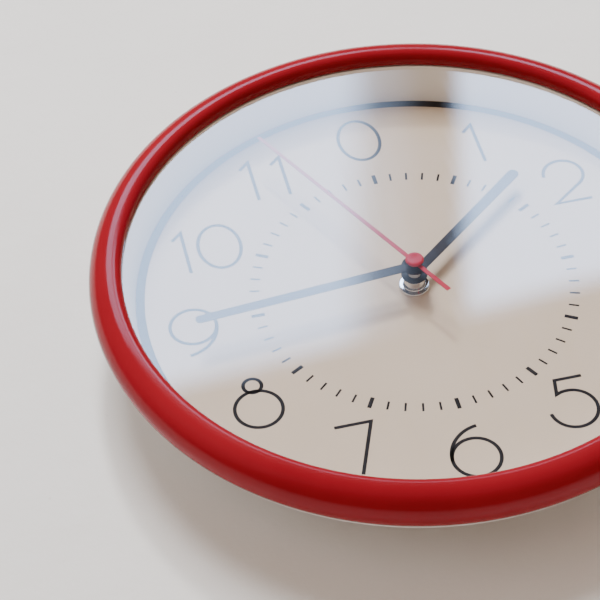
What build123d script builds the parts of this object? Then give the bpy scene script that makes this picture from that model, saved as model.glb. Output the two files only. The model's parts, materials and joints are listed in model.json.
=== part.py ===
from build123d import *
import math
import os

# Round wall clock with a battery quartz movement. Millimetres.
#
# Every piece is built in the bench frame: the clock lies on its back on the wall plane z = 0, the hand
# axis is the z axis, +z points out of the dial, +x to 3 o'clock and +y to 12 o'clock. hang() then turns
# each finished piece into the row frame: +Z up (12 o'clock), -Y out of the dial, the wall plane at Y = 0,
# and the origin in the middle of the hanger's entry hole.

# ---- case: driving sizes -------------------------------------------------------------------------
CASE_DIAMETER = 282.0
BEZEL_ROUND = 10.4         # radius of the ring's outer round
BEZEL_SHOULDER = 4.4       # radius of the round that falls to the lens
BEZEL_WALL = 2.2
BEZEL_SKIRT = 1.8          # wall of the inner skirt that centres the lens
BEZEL_RIM_ANGLE = 50.0     # how far under its widest point the ring ends, degrees
LIP_RISE = 1.4             # straight wall between the lens and the shoulder
LIP_OVERLAP = 1.8          # how far the lip covers the edge of the lens
LENS_THICKNESS = 1.4
LENS_FIT = 0.3
LENS_HEIGHT = 18.0         # free height between dial and lens
DIAL_THICKNESS = 0.8
DIAL_FIT = 0.4
PLATE_THICKNESS = 1.8      # the rear case's plate behind the dial
REFLECTOR_SLOPE = 4.0      # how far the reflector widens from dial to lens
REFLECTOR_WALL = 0.8
REFLECTOR_FLANGE = 1.0
DISH_WALL = 2.0
DISH_INSET = 0.6           # the dish's outside sits this far inside the lens's edge
DISH_DRAFT = 0.8
HOOP_RATIO = 0.787         # the rear hoop's outside, as a share of the ring's outer radius
HOOP_WALL = 2.0
HOOP_DRAFT = 0.8
FLANGE_THICKNESS = 2.0
FLANGE_INSET = 0.4
SPIGOT_HEIGHT = 1.4
SPIGOT_FIT = 0.2
RIB_HEIGHT = 3.0
RIB_THICKNESS = 1.6
RIB_COUNT = 12
RIB_RING_SHARE = 23 / 28   # radius of the ribs' ring, as a share of the movement's width
SCREW_COUNT = 6
SCREW_RADIUS = 1.45
SCREW_FIT = 0.05
SCREW_LENGTH = 9.0
SCREW_HEAD_RADIUS = 2.8
SCREW_HEAD_HEIGHT = 1.8
SCREW_FLANGE_FIT = 0.25
BOSS_WALL = 1.4
BOSS_HEIGHT = 10.9
CROSS_WIDTH = 0.8
CROSS_DEPTH = 1.1
CROSS_LENGTH = 3.2

# ---- hanger --------------------------------------------------------------------------------------
HANGER_WIDTH = 27.0
HANGER_LENGTH = 32.0
HANGER_WALL = 2.4
HANGER_SIDE = 2.0
HANGER_RIM_GAP = 6.0       # between the hanger tower and the hoop
HANGER_HOLE_RADIUS = 4.5
HANGER_SLOT_WIDTH = 4.6
HANGER_SLOT_RISE = 10.0
HANGER_HOLE_OFFSET = -4.0  # entry hole below the middle of the tower

# ---- movement: driving sizes ---------------------------------------------------------------------
MOVEMENT_WIDTH = 56.0
MOVEMENT_WALL = 1.2
MOVEMENT_CORNER = 2.0
BATTERY_DIAMETER = 14.2
BATTERY_BODY = 49.0
BATTERY_NUB_LENGTH = 1.0
BATTERY_NUB_RADIUS = 2.7
BATTERY_END_GAP = 0.2
BATTERY_SIDE_GAP = 0.25
BATTERY_FRONT_GAP = 0.2
BATTERY_WALL_GAP = 2.3     # between the battery and the wall behind the clock
COVER_RISE = 0.4           # the cover sits this much in front of the battery's rear
RUBBER_THICKNESS = 1.0
RUBBER_WIDTH = 5.0         # from the bush outwards, as for the four widths below
BUSH_RADIUS = 4.0
BUSH_FLANGE_WIDTH = 1.5
BUSH_FLANGE_HEIGHT = 0.8
BUSH_FIT = 0.1
THREAD_DEPTH = 0.25
THREAD_PITCH = 0.75
RUN_FIT = 0.05             # radial clearance of every turning fit

# ---- hub and hands: heights above the dial -------------------------------------------------------
DIAL_WASHER_THICKNESS = 0.4
DIAL_WASHER_WIDTH = 2.5
NUT_HEIGHT = 6.2
NUT_FLANGE_HEIGHT = 1.1
NUT_FLANGE_WIDTH = 2.8
NUT_COLLAR_WALL = 0.8
NUT_BUSH_STEP = 0.4        # the nut stands this much above the bush
HOUR_HAND_HEIGHT = 7.4
HAND_THICKNESS = 0.4
HOUR_COLLET_LENGTH = 2.3
COLLET_GAP = 0.3
MINUTE_HAND_HEIGHT = 12.7
HAND_NUT_HEIGHT = 1.4
HAND_NUT_RADIUS = 2.0
SECOND_HAND_HEIGHT = 15.0
SECOND_HAND_THICKNESS = 0.3
SOCKET_LENGTH = 1.85
SOCKET_DROP = 0.25         # the socket starts this much below the second hand
CAP_HEIGHT = 2.1
CAP_RADIUS = 4.05
CAP_ROUND = 0.9
CAP_DIMPLE_RADIUS = 2.5
CAP_DIMPLE_DEPTH = 0.15

SECOND_ARBOR_RADIUS = 0.45
MINUTE_PIPE_RADIUS = 1.6
HOUR_PIPE_RADIUS = 2.5
COLLET_RADIUS = 2.85
SOCKET_RADIUS = 1.1

HOUR_TIP_GAP = 42.0        # between a hand's tip and the dial's free edge
MINUTE_TIP_GAP = 23.6
SECOND_TIP_GAP = 15.4
HOUR_HAND_WIDTHS = (4.2, 4.9)      # at the hub, at the tip
MINUTE_HAND_WIDTHS = (4.4, 4.0)
SECOND_HAND_WIDTHS = (1.8, 1.3)
SECOND_TAIL_WIDTHS = (1.7, 2.0)
SECOND_TAIL_LENGTH = 22.0
HOUR_DISC_RADIUS = 5.6
MINUTE_DISC_RADIUS = 5.5
SECOND_DISC_RADIUS = 3.0
HOUR_REST_ANGLE = 50.1     # degrees clockwise from 12 o'clock
MINUTE_REST_ANGLE = 265.3
SECOND_REST_ANGLE = 333.1

# ---- gear train: teeth, modules, levels ----------------------------------------------------------
PRESSURE_ANGLE = 28.0
ADDENDUM = 0.8             # in modules
DEDENDUM = 1.05
BACKLASH = 0.16            # of a tooth's thickness, in modules
FLANK_STEPS = 5

MINUTE_PINION_TEETH, WORK_WHEEL_TEETH, WORK_PINION_TEETH, HOUR_WHEEL_TEETH = 12, 36, 10, 40
SET_GEAR_TEETH = 12
CENTRE_WHEEL_TEETH, THIRD_PINION_TEETH, THIRD_WHEEL_TEETH, SECOND_PINION_TEETH = 64, 8, 60, 8
SECOND_WHEEL_TEETH, FIFTH_PINION_TEETH, FIFTH_WHEEL_TEETH, ROTOR_PINION_TEETH = 40, 8, 48, 8

WORK_DISTANCE = 7.5        # hand axis to minute work wheel, and from there to the set knob
THIRD_DISTANCE = 7.92
FIFTH_MODULE = 0.25
ROTOR_MODULE = 0.2
WORK_ANGLE, SET_ANGLE, THIRD_ANGLE, FIFTH_ANGLE, ROTOR_ANGLE = 20.0, -15.0, 60.0, 150.0, 130.0

WHEEL_THICKNESS = 0.8
PINION_OVERLAP = 0.3       # a pinion reaches this far past both faces of the wheel it drives
LEVEL_FIFTH, LEVEL_SECOND, LEVEL_THIRD, LEVEL_CENTRE, LEVEL_WORK, LEVEL_HOUR = 1.0, 2.5, 4.5, 6.7, 8.7, 10.7
POST_RADIUS = 0.4
ROTOR_POST_RADIUS = 0.27
WORK_POST_RADIUS = 0.6
SET_SHAFT_RADIUS = 1.5
KNOB_RADIUS = 5.0
KNOB_THICKNESS = 1.5
KNOB_GAP = 0.2
KNOB_GRIPS = 20
KNOB_GRIP_RADIUS = 0.45
ROTOR_RADIUS = 2.4
ROTOR_LENGTH = 2.0
ROTOR_HUB_RADIUS = 1.0
ROTOR_GAP = 0.5

# ---- motor and electronics -----------------------------------------------------------------------
LAMINATION = 0.8
YOKE_WIDTH = 1.7
LEG_WIDTH = 3.0
COIL_LENGTH = 19.2
COIL_RADIUS = 3.2
COIL_CHEEK = 3.7
COIL_CHEEK_THICKNESS = 0.8
CORE_WIDTH = 2.0
COIL_Y = 21.4
BOARD_THICKNESS = 1.0
BOARD_LEFT, BOARD_BOTTOM = 11.5, 7.0
BOARD_EDGE_GAP = 0.8
CONTACT_THICKNESS = 0.4
CONTACT_GAP = 0.2
STRIP_WIDTH = 3.0

# ---- derived radii -------------------------------------------------------------------------------
round_r = CASE_DIAMETER / 2 - BEZEL_ROUND
lip_r = round_r - BEZEL_SHOULDER
lens_r = lip_r + LIP_OVERLAP
skirt_in = lens_r + LENS_FIT
skirt_out = skirt_in + BEZEL_SKIRT
rim_drop = BEZEL_ROUND * math.sin(math.radians(BEZEL_RIM_ANGLE))
rim_r = round_r + BEZEL_ROUND * math.cos(math.radians(BEZEL_RIM_ANGLE))
reflector_low_r = lip_r - REFLECTOR_SLOPE
dish_out = lens_r - DISH_INSET
dish_in = dish_out - DISH_WALL
dial_r = dish_in - DIAL_FIT
hoop_out = HOOP_RATIO * CASE_DIAMETER / 2
hoop_in = hoop_out - HOOP_WALL
rib_ring_r = RIB_RING_SHARE * MOVEMENT_WIDTH
boss_r = SCREW_RADIUS + SCREW_FIT + BOSS_WALL
screw_circle = (skirt_out + rim_r - BEZEL_WALL) / 2

# ---- derived levels, from the wall up ------------------------------------------------------------
battery_z = BATTERY_WALL_GAP + BATTERY_DIAMETER / 2
cover_back = BATTERY_WALL_GAP + COVER_RISE
cover_front = cover_back + MOVEMENT_WALL
base_inner = BATTERY_WALL_GAP + BATTERY_DIAMETER + BATTERY_FRONT_GAP
movement_front = base_inner + MOVEMENT_WALL
plate_back = movement_front + RUBBER_THICKNESS
plate_front = plate_back + PLATE_THICKNESS
dial_face = plate_front + DIAL_THICKNESS
lens_back = dial_face + LENS_HEIGHT
seat_z = lens_back - REFLECTOR_FLANGE
lens_front = lens_back + LENS_THICKNESS
shoulder_z = lens_front + LIP_RISE
bezel_top = shoulder_z + BEZEL_SHOULDER
round_z = bezel_top - BEZEL_ROUND
rim_z = round_z - rim_drop
flange_z = rim_z - FLANGE_THICKNESS

# ---- derived hub heights -------------------------------------------------------------------------
nut_top = dial_face + NUT_HEIGHT
bush_top = nut_top - NUT_BUSH_STEP
bush_bore = HOUR_PIPE_RADIUS + RUN_FIT
hour_z = dial_face + HOUR_HAND_HEIGHT
hour_collet_top = hour_z + HAND_THICKNESS + HOUR_COLLET_LENGTH
minute_z = dial_face + MINUTE_HAND_HEIGHT
hand_nut_top = minute_z + HAND_THICKNESS + HAND_NUT_HEIGHT
second_z = dial_face + SECOND_HAND_HEIGHT
socket_low = second_z - SOCKET_DROP
cap_top = second_z + SECOND_HAND_THICKNESS + CAP_HEIGHT

# ---- derived train -------------------------------------------------------------------------------
work_module = 2 * WORK_DISTANCE / (MINUTE_PINION_TEETH + WORK_WHEEL_TEETH)
hour_module = 2 * WORK_DISTANCE / (WORK_PINION_TEETH + HOUR_WHEEL_TEETH)
centre_module = 2 * THIRD_DISTANCE / (CENTRE_WHEEL_TEETH + THIRD_PINION_TEETH)
third_module = 2 * THIRD_DISTANCE / (THIRD_WHEEL_TEETH + SECOND_PINION_TEETH)
fifth_distance = FIFTH_MODULE * (SECOND_WHEEL_TEETH + FIFTH_PINION_TEETH) / 2
rotor_distance = ROTOR_MODULE * (FIFTH_WHEEL_TEETH + ROTOR_PINION_TEETH) / 2
set_distance = work_module * (WORK_WHEEL_TEETH + SET_GEAR_TEETH) / 2


def polar(distance, angle, origin=(0.0, 0.0)):
    """Point at a distance and an angle in degrees from another point."""
    turn = math.radians(angle)
    return origin[0] + distance * math.cos(turn), origin[1] + distance * math.sin(turn)


work_at = polar(WORK_DISTANCE, WORK_ANGLE)
set_at = polar(set_distance, SET_ANGLE, work_at)
third_at = polar(THIRD_DISTANCE, THIRD_ANGLE)
fifth_at = polar(fifth_distance, FIFTH_ANGLE)
rotor_at = polar(rotor_distance, ROTOR_ANGLE, fifth_at)

# ---- derived movement plan -----------------------------------------------------------------------
half_width = MOVEMENT_WIDTH / 2
inner_half = half_width - MOVEMENT_WALL
battery_y = -inner_half + BATTERY_SIDE_GAP + BATTERY_DIAMETER / 2
partition_low = battery_y + BATTERY_DIAMETER / 2 + BATTERY_SIDE_GAP
positive_x = inner_half - CONTACT_THICKNESS - CONTACT_GAP
battery_nub_x = positive_x - BATTERY_END_GAP
battery_left = battery_nub_x - BATTERY_NUB_LENGTH - BATTERY_BODY
negative_x = -inner_half + CONTACT_GAP
coil_left = rotor_at[0] - LEG_WIDTH - COIL_LENGTH / 4
coil_right = coil_left + COIL_LENGTH
stator_low = cover_front + LEVEL_THIRD - PINION_OVERLAP - 2 * POST_RADIUS + LAMINATION / 2
core_low = stator_low + LAMINATION
core_z = core_low + LAMINATION / 2
board_low = core_low + LAMINATION / 2
board_top = board_low + BOARD_THICKNESS

# ---- hanger place --------------------------------------------------------------------------------
tower_y = hoop_in - HOOP_DRAFT - HANGER_RIM_GAP - HANGER_LENGTH / 2
hanger_y = tower_y + HANGER_HOLE_OFFSET


def hang(piece):
    """Turn a bench piece into the row frame, with the hanger's entry hole at the origin."""
    return Pos(0, 0, -hanger_y) * Rot(90, 0, 0) * piece


def disc(radius, low, high, at=(0.0, 0.0)):
    """Solid cylinder along z between two levels."""
    seat = (Align.CENTER, Align.CENTER, Align.MIN)
    return Pos(at[0], at[1], low) * Cylinder(radius, high - low, align=seat)


def tube(outer, inner, low, high, at=(0.0, 0.0)):
    """Cylinder along z with a bore right through."""
    margin = high - low
    return disc(outer, low, high, at) - disc(inner, low - margin, high + margin, at)


def block(x_low, x_high, y_low, y_high, z_low, z_high):
    """Box between two corners."""
    size = (x_high - x_low, y_high - y_low, z_high - z_low)
    return Pos(x_low, y_low, z_low) * Box(*size, align=(Align.MIN, Align.MIN, Align.MIN))


def turned(*edges):
    """Solid of revolution of a closed outline drawn in radius and height."""
    return revolve(make_face([Plane.XZ * edge for edge in edges]), Axis.Z)


def turned_polygon(*points):
    """Solid of revolution of a polygon given as (radius, height) points."""
    return turned(Polyline(*points, close=True))


# ---- gears ---------------------------------------------------------------------------------------
def involute(angle):
    """Involute function of a pressure angle in radians."""
    return math.tan(angle) - angle


def tooth_flank(teeth, module):
    """Half angles of one tooth at rising radii, from the base or root circle to the tip."""
    pitch_r = teeth * module / 2
    base_r = pitch_r * math.cos(math.radians(PRESSURE_ANGLE))
    root_r = pitch_r - DEDENDUM * module
    tip_r = pitch_r + ADDENDUM * module
    half_at_pitch = (math.pi / 2 - BACKLASH) / teeth
    start_r = max(base_r, root_r)
    flank = [(root_r, half_at_pitch + involute(math.radians(PRESSURE_ANGLE)))] if root_r < base_r else []
    for step in range(FLANK_STEPS + 1):
        radius = start_r + (tip_r - start_r) * step / FLANK_STEPS
        here = math.acos(min(1.0, base_r / radius))
        flank.append((radius, half_at_pitch + involute(math.radians(PRESSURE_ANGLE)) - involute(here)))
    return flank


def gear(teeth, module, low, high, phase, at, bore=0.0):
    """Spur gear with a tooth's middle at the phase angle in degrees."""
    flank = tooth_flank(teeth, module)
    points = []
    for tooth in range(teeth):
        middle = math.radians(phase) + 2 * math.pi * tooth / teeth
        for radius, half in flank:
            points.append((radius * math.cos(middle - half), radius * math.sin(middle - half)))
        for radius, half in reversed(flank):
            points.append((radius * math.cos(middle + half), radius * math.sin(middle + half)))
    body = Pos(at[0], at[1], low) * extrude(make_face(Polyline(*points, close=True)), high - low)
    return body - disc(bore, low - 1, high + 1, at) if bore else body


def meshed(teeth_a, phase_a, teeth_b, direction):
    """Phase of gear b in mesh with gear a, with b in the given direction from a."""
    tooth_here = (direction - phase_a) * teeth_a / 360
    return direction + 180 - (0.5 - tooth_here) * 360 / teeth_b


def wheel_span(level):
    """Lowest and highest level of a wheel."""
    low = cover_front + level
    return low, low + WHEEL_THICKNESS


def pinion_span(level):
    """Lowest and highest level of the pinion that meshes with the wheel at a level."""
    low, high = wheel_span(level)
    return low - PINION_OVERLAP, high + PINION_OVERLAP


work_phase = meshed(MINUTE_PINION_TEETH, 0, WORK_WHEEL_TEETH, WORK_ANGLE)
hour_phase = meshed(WORK_PINION_TEETH, 0, HOUR_WHEEL_TEETH, WORK_ANGLE + 180)
set_phase = meshed(WORK_WHEEL_TEETH, work_phase, SET_GEAR_TEETH, SET_ANGLE)
third_phase = meshed(CENTRE_WHEEL_TEETH, 0, THIRD_PINION_TEETH, THIRD_ANGLE)
second_phase = meshed(THIRD_WHEEL_TEETH, 0, SECOND_PINION_TEETH, THIRD_ANGLE + 180)
fifth_phase = meshed(SECOND_WHEEL_TEETH, 0, FIFTH_PINION_TEETH, FIFTH_ANGLE)
rotor_phase = meshed(FIFTH_WHEEL_TEETH, 0, ROTOR_PINION_TEETH, ROTOR_ANGLE)


# ---- case pieces ---------------------------------------------------------------------------------
def bezel_outline():
    """Outer form of the ring: rim, big round, shoulder, lip and skirt."""
    rim_point = (rim_r, rim_z)
    return turned(
        Line((skirt_in, rim_z), rim_point),
        CenterArc((round_r, round_z), BEZEL_ROUND, -BEZEL_RIM_ANGLE, 90 + BEZEL_RIM_ANGLE),
        CenterArc((round_r, shoulder_z), BEZEL_SHOULDER, 90, 90),
        Polyline((lip_r, shoulder_z), (lip_r, lens_front), (skirt_in, lens_front), (skirt_in, rim_z)),
    )


def bezel_hollow():
    """Space inside the ring's wall, open towards the rear case."""
    arch = Pos(round_r, round_z) * Circle(BEZEL_ROUND - BEZEL_WALL)
    throat_width = rim_r - BEZEL_WALL - skirt_out
    throat_centre = Pos(skirt_out + throat_width / 2, (rim_z + round_z) / 2)
    throat = throat_centre * Rectangle(throat_width, round_z - rim_z)
    inner_side = Pos(skirt_out - BEZEL_ROUND, round_z) * Rectangle(2 * BEZEL_ROUND, 4 * BEZEL_ROUND)
    return revolve(Plane.XZ * (arch + throat - inner_side), Axis.Z)


def screw_places():
    """Centres of the case screws on their circle."""
    return [polar(screw_circle, 30 + 360 * number / SCREW_COUNT) for number in range(SCREW_COUNT)]


def bezel():
    """Moulded red ring with its screw bosses."""
    outline = bezel_outline()
    ring = outline - bezel_hollow()
    for place in screw_places():
        ring += outline & disc(boss_r, rim_z, rim_z + BOSS_HEIGHT, place)
    for place in screw_places():
        ring -= disc(SCREW_RADIUS + SCREW_FIT, rim_z - 1, rim_z + SCREW_LENGTH, place)
    return ring


def lens():
    """Flat clear disc that rests under the lip."""
    return disc(lens_r, lens_back, lens_front)


def reflector_outside(level):
    """Outer radius of the sloping ring at a level."""
    return reflector_low_r + REFLECTOR_WALL + REFLECTOR_SLOPE * (level - dial_face) / (seat_z - dial_face)


def reflector_ring():
    """White sloping ring that holds the lens up and hides the dial's edge."""
    return turned_polygon(
        (reflector_low_r, dial_face), (reflector_outside(dial_face), dial_face),
        (reflector_outside(seat_z), seat_z), (lens_r, seat_z), (lens_r, lens_back), (lip_r, lens_back),
    )


def dial():
    """Flat dial plate with the hole for the bush."""
    return tube(dial_r, BUSH_RADIUS + BUSH_FIT, plate_front, dial_face)


def hanger_tower():
    """Hollow tower from the plate to the wall plane, with the keyhole in its rear wall."""
    half = HANGER_WIDTH / 2
    tall = HANGER_LENGTH / 2
    tower = block(-half, half, tower_y - tall, tower_y + tall, 0, plate_back)
    half -= HANGER_SIDE
    tall -= HANGER_SIDE
    tower -= block(-half, half, tower_y - tall, tower_y + tall, HANGER_WALL, plate_back)
    slot_half = HANGER_SLOT_WIDTH / 2
    slot_top = hanger_y + HANGER_SLOT_RISE
    tower -= disc(HANGER_HOLE_RADIUS, -1, HANGER_WALL, (0, hanger_y))
    tower -= block(-slot_half, slot_half, hanger_y, slot_top, -1, HANGER_WALL)
    return tower - disc(slot_half, -1, HANGER_WALL, (0, slot_top))


def plate_ribs():
    """Radial ribs, their ring and the square frame round the movement, behind the plate."""
    low = plate_back - RIB_HEIGHT
    ribs = tube(rib_ring_r, rib_ring_r - RIB_THICKNESS, low, plate_back)
    for number in range(RIB_COUNT):
        bar = block(rib_ring_r - RIB_THICKNESS / 2, hoop_in + HOOP_WALL / 2,
                    -RIB_THICKNESS / 2, RIB_THICKNESS / 2, low, plate_back)
        ribs += Rot(0, 0, 360 * number / RIB_COUNT) * bar
    frame_in = half_width + DIAL_FIT
    frame_out = frame_in + RIB_THICKNESS
    frame = block(-frame_out, frame_out, -frame_out, frame_out, low, plate_back)
    return ribs + (frame - block(-frame_in, frame_in, -frame_in, frame_in, low, plate_back))


def rear_case():
    """Moulded back: dish behind the dial, flange under the bezel, spigot, rear hoop, ribs and hanger."""
    spigot_top = rim_z + SPIGOT_HEIGHT
    throat = max(dish_in, reflector_outside(spigot_top)) + DIAL_FIT
    case = turned_polygon(
        (0, plate_back), (dish_out - DISH_DRAFT, plate_back), (dish_out, flange_z),
        (rim_r - FLANGE_INSET, flange_z), (rim_r - FLANGE_INSET, rim_z), (skirt_in - SPIGOT_FIT, rim_z),
        (skirt_in - SPIGOT_FIT, spigot_top), (throat, spigot_top), (dish_in, rim_z),
        (dish_in, plate_front), (0, plate_front),
    )
    case += turned_polygon(
        (hoop_in - HOOP_DRAFT, 0), (hoop_out - HOOP_DRAFT, 0), (hoop_out, plate_back), (hoop_in, plate_back),
    )
    case += hanger_tower() + plate_ribs()
    keyhole_room = HANGER_WIDTH / 2 - HANGER_SIDE
    tall = HANGER_LENGTH / 2 - HANGER_SIDE
    case -= block(-keyhole_room, keyhole_room, tower_y - tall, tower_y + tall, HANGER_WALL, plate_back)
    case -= disc(BUSH_RADIUS + BUSH_FIT, plate_back - 1, plate_front + 1)
    for place in screw_places():
        case -= disc(SCREW_RADIUS + SCREW_FLANGE_FIT, flange_z - 1, rim_z + 1, place)
    return case


def case_screw():
    """Pan-head screw with a cross recess, head towards the wall, its seat at level zero."""
    head = disc(SCREW_HEAD_RADIUS, -SCREW_HEAD_HEIGHT, 0)
    head = fillet(head.edges().group_by(Axis.Z)[0], SCREW_HEAD_HEIGHT / 2)
    half = CROSS_WIDTH / 2
    reach = CROSS_LENGTH / 2
    floor = CROSS_DEPTH - SCREW_HEAD_HEIGHT
    cross = block(-reach, reach, -half, half, -2 * SCREW_HEAD_HEIGHT, floor)
    cross += block(-half, half, -reach, reach, -2 * SCREW_HEAD_HEIGHT, floor)
    shank_top = FLANGE_THICKNESS + SCREW_LENGTH - SCREW_HEAD_HEIGHT / 2
    shank = disc(SCREW_RADIUS, 0, shank_top)
    return head - cross + chamfer(shank.edges().group_by(Axis.Z)[-1], SCREW_RADIUS / 2)


def case_screws():
    """The identical case screws, as separate solids."""
    return Compound([Pos(x, y, flange_z) * case_screw() for x, y in screw_places()])


# ---- clamping pieces -----------------------------------------------------------------------------
def threaded_bush():
    """Bush that carries the hand pipes, with a flange inside the movement and a thread outside."""
    flange_r = BUSH_RADIUS + BUSH_FLANGE_WIDTH
    bush = turned_polygon(
        (bush_bore, base_inner - BUSH_FLANGE_HEIGHT), (flange_r, base_inner - BUSH_FLANGE_HEIGHT),
        (flange_r, base_inner), (BUSH_RADIUS, base_inner), (BUSH_RADIUS, bush_top),
        (bush_bore, bush_top),
    )
    turns = int((bush_top - plate_front) / THREAD_PITCH)
    for turn in range(turns):
        level = bush_top - THREAD_PITCH * (turn + 0.5)
        bush -= turned_polygon(
            (BUSH_RADIUS - THREAD_DEPTH, level), (BUSH_RADIUS + 1, level - THREAD_PITCH / 2),
            (BUSH_RADIUS + 1, level + THREAD_PITCH / 2),
        )
    return bush


def rubber_washer():
    """Soft washer between movement and plate."""
    return tube(BUSH_RADIUS + RUBBER_WIDTH, BUSH_RADIUS + BUSH_FIT, movement_front, plate_back)


def dial_washer():
    """Thin washer on the dial under the nut."""
    high = dial_face + DIAL_WASHER_THICKNESS
    return tube(BUSH_RADIUS + DIAL_WASHER_WIDTH, BUSH_RADIUS + BUSH_FIT, dial_face, high)


def dial_nut():
    """Round nut with a broad rounded flange."""
    low = dial_face + DIAL_WASHER_THICKNESS
    flange = disc(BUSH_RADIUS + NUT_FLANGE_WIDTH, low, low + NUT_FLANGE_HEIGHT)
    flange = fillet(flange.edges().group_by(Axis.Z)[-1], NUT_FLANGE_HEIGHT * 0.8)
    collar = disc(BUSH_RADIUS + NUT_COLLAR_WALL, low, nut_top)
    collar = fillet(collar.edges().group_by(Axis.Z)[-1], NUT_BUSH_STEP)
    return flange + collar - disc(BUSH_RADIUS + BUSH_FIT / 2, low - 1, nut_top + 1)


# ---- hands ---------------------------------------------------------------------------------------
def hand_blank(tip, widths, disc_radius):
    """Flat outline of a bar hand that points to 12: tapered bar, round end and hub disc."""
    root, end = widths[0] / 2, widths[1] / 2
    shoulder = tip - end
    bar = make_face(Polyline((-root, 0), (root, 0), (end, shoulder), (-end, shoulder), close=True))
    return bar + Pos(0, shoulder) * Circle(end) + Circle(disc_radius)


def placed_hand(blank, bore, low, thickness, angle):
    """Cut the bore, give the hand its thickness and turn it clockwise from 12."""
    return Pos(0, 0, low) * Rot(0, 0, -angle) * extrude(blank - Circle(bore), thickness)


def hour_hand():
    """Short black hand."""
    blank = hand_blank(reflector_low_r - HOUR_TIP_GAP, HOUR_HAND_WIDTHS, HOUR_DISC_RADIUS)
    return placed_hand(blank, HOUR_PIPE_RADIUS, hour_z, HAND_THICKNESS, HOUR_REST_ANGLE)


def minute_hand():
    """Long black hand."""
    blank = hand_blank(reflector_low_r - MINUTE_TIP_GAP, MINUTE_HAND_WIDTHS, MINUTE_DISC_RADIUS)
    return placed_hand(blank, MINUTE_PIPE_RADIUS, minute_z, HAND_THICKNESS, MINUTE_REST_ANGLE)


def second_hand():
    """Red needle with a broader square tail."""
    blank = hand_blank(reflector_low_r - SECOND_TIP_GAP, SECOND_HAND_WIDTHS, SECOND_DISC_RADIUS)
    root, end = SECOND_TAIL_WIDTHS[0] / 2, SECOND_TAIL_WIDTHS[1] / 2
    blank += make_face(Polyline((-root, 0), (root, 0), (end, -SECOND_TAIL_LENGTH),
                                (-end, -SECOND_TAIL_LENGTH), close=True))
    return placed_hand(blank, SOCKET_RADIUS, second_z, SECOND_HAND_THICKNESS, SECOND_REST_ANGLE)


def hour_collet():
    """Bright ring that holds the hour hand on its pipe."""
    return tube(COLLET_RADIUS, HOUR_PIPE_RADIUS, hour_z + HAND_THICKNESS, hour_collet_top)


def minute_collet():
    """Bright ring under the minute hand."""
    return tube(COLLET_RADIUS, MINUTE_PIPE_RADIUS, hour_collet_top + COLLET_GAP, minute_z)


def hand_nut():
    """Small nut that clamps the minute hand."""
    nut = disc(HAND_NUT_RADIUS, minute_z + HAND_THICKNESS, hand_nut_top)
    nut = chamfer(nut.edges().group_by(Axis.Z)[-1], THREAD_DEPTH)
    return nut - disc(MINUTE_PIPE_RADIUS, minute_z, hand_nut_top + 1)


def second_socket():
    """Tube that grips the second arbor inside the cap."""
    return tube(SOCKET_RADIUS, SECOND_ARBOR_RADIUS, socket_low, socket_low + SOCKET_LENGTH)


def second_cap():
    """Domed red cap with a shallow dimple."""
    low = second_z + SECOND_HAND_THICKNESS
    cap = disc(CAP_RADIUS, low, cap_top)
    cap = fillet(cap.edges().group_by(Axis.Z)[-1], CAP_ROUND)
    dimple_ball = (CAP_DIMPLE_RADIUS ** 2 + CAP_DIMPLE_DEPTH ** 2) / (2 * CAP_DIMPLE_DEPTH)
    cap -= Pos(0, 0, cap_top + dimple_ball - CAP_DIMPLE_DEPTH) * Sphere(dimple_ball)
    return cap - disc(SOCKET_RADIUS, low - 1, socket_low + SOCKET_LENGTH)


# ---- train pieces --------------------------------------------------------------------------------
def compound_wheel(wheel, pinion, at, bore):
    """Wheel and pinion moulded in one, each given as (teeth, module, (low, high), phase)."""
    wheel_teeth, wheel_module, (wheel_low, wheel_high), wheel_phase = wheel
    pinion_teeth, pinion_module, (pinion_low, pinion_high), pinion_phase = pinion
    low = min(wheel_low, pinion_low)
    high = max(wheel_high, pinion_high)
    body = gear(wheel_teeth, wheel_module, wheel_low, wheel_high, wheel_phase, at)
    body += gear(pinion_teeth, pinion_module, pinion_low, pinion_high, pinion_phase, at)
    root = (pinion_teeth / 2 - DEDENDUM) * pinion_module
    body += disc(root, low, high, at)
    return body - disc(bore, low - 1, high + 1, at)


def hour_wheel():
    """Hour wheel with its long pipe."""
    low, high = wheel_span(LEVEL_HOUR)
    wheel = gear(HOUR_WHEEL_TEETH, hour_module, low, high, hour_phase, (0, 0))
    pipe = disc(HOUR_PIPE_RADIUS, low, hour_collet_top)
    return wheel + pipe - disc(MINUTE_PIPE_RADIUS + RUN_FIT, low - 1, hour_collet_top + 1)


def minute_pipe():
    """Minute pipe with its pinion; the centre wheel sits on its rear end."""
    low, high = pinion_span(LEVEL_WORK)
    foot = wheel_span(LEVEL_CENTRE)[0]
    pipe = gear(MINUTE_PINION_TEETH, work_module, low, high, 0, (0, 0))
    root = (MINUTE_PINION_TEETH / 2 - DEDENDUM) * work_module
    pipe += disc(root - THREAD_DEPTH, foot, low) + disc(MINUTE_PIPE_RADIUS, high, hand_nut_top - RUN_FIT)
    return pipe - disc(SECOND_ARBOR_RADIUS + RUN_FIT, foot - 1, hand_nut_top + 1)


def centre_wheel():
    """Centre wheel, friction-fitted on the minute pipe."""
    low, high = wheel_span(LEVEL_CENTRE)
    root = (MINUTE_PINION_TEETH / 2 - DEDENDUM) * work_module
    return gear(CENTRE_WHEEL_TEETH, centre_module, low, high, 0, (0, 0), root - THREAD_DEPTH)


def minute_work_wheel():
    """Wheel and pinion that gear the hour wheel down."""
    pinion_low, pinion_high = pinion_span(LEVEL_HOUR)
    return compound_wheel((WORK_WHEEL_TEETH, work_module, wheel_span(LEVEL_WORK), work_phase),
                          (WORK_PINION_TEETH, hour_module, (pinion_low, pinion_high), 0),
                          work_at, WORK_POST_RADIUS + RUN_FIT)


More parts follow.
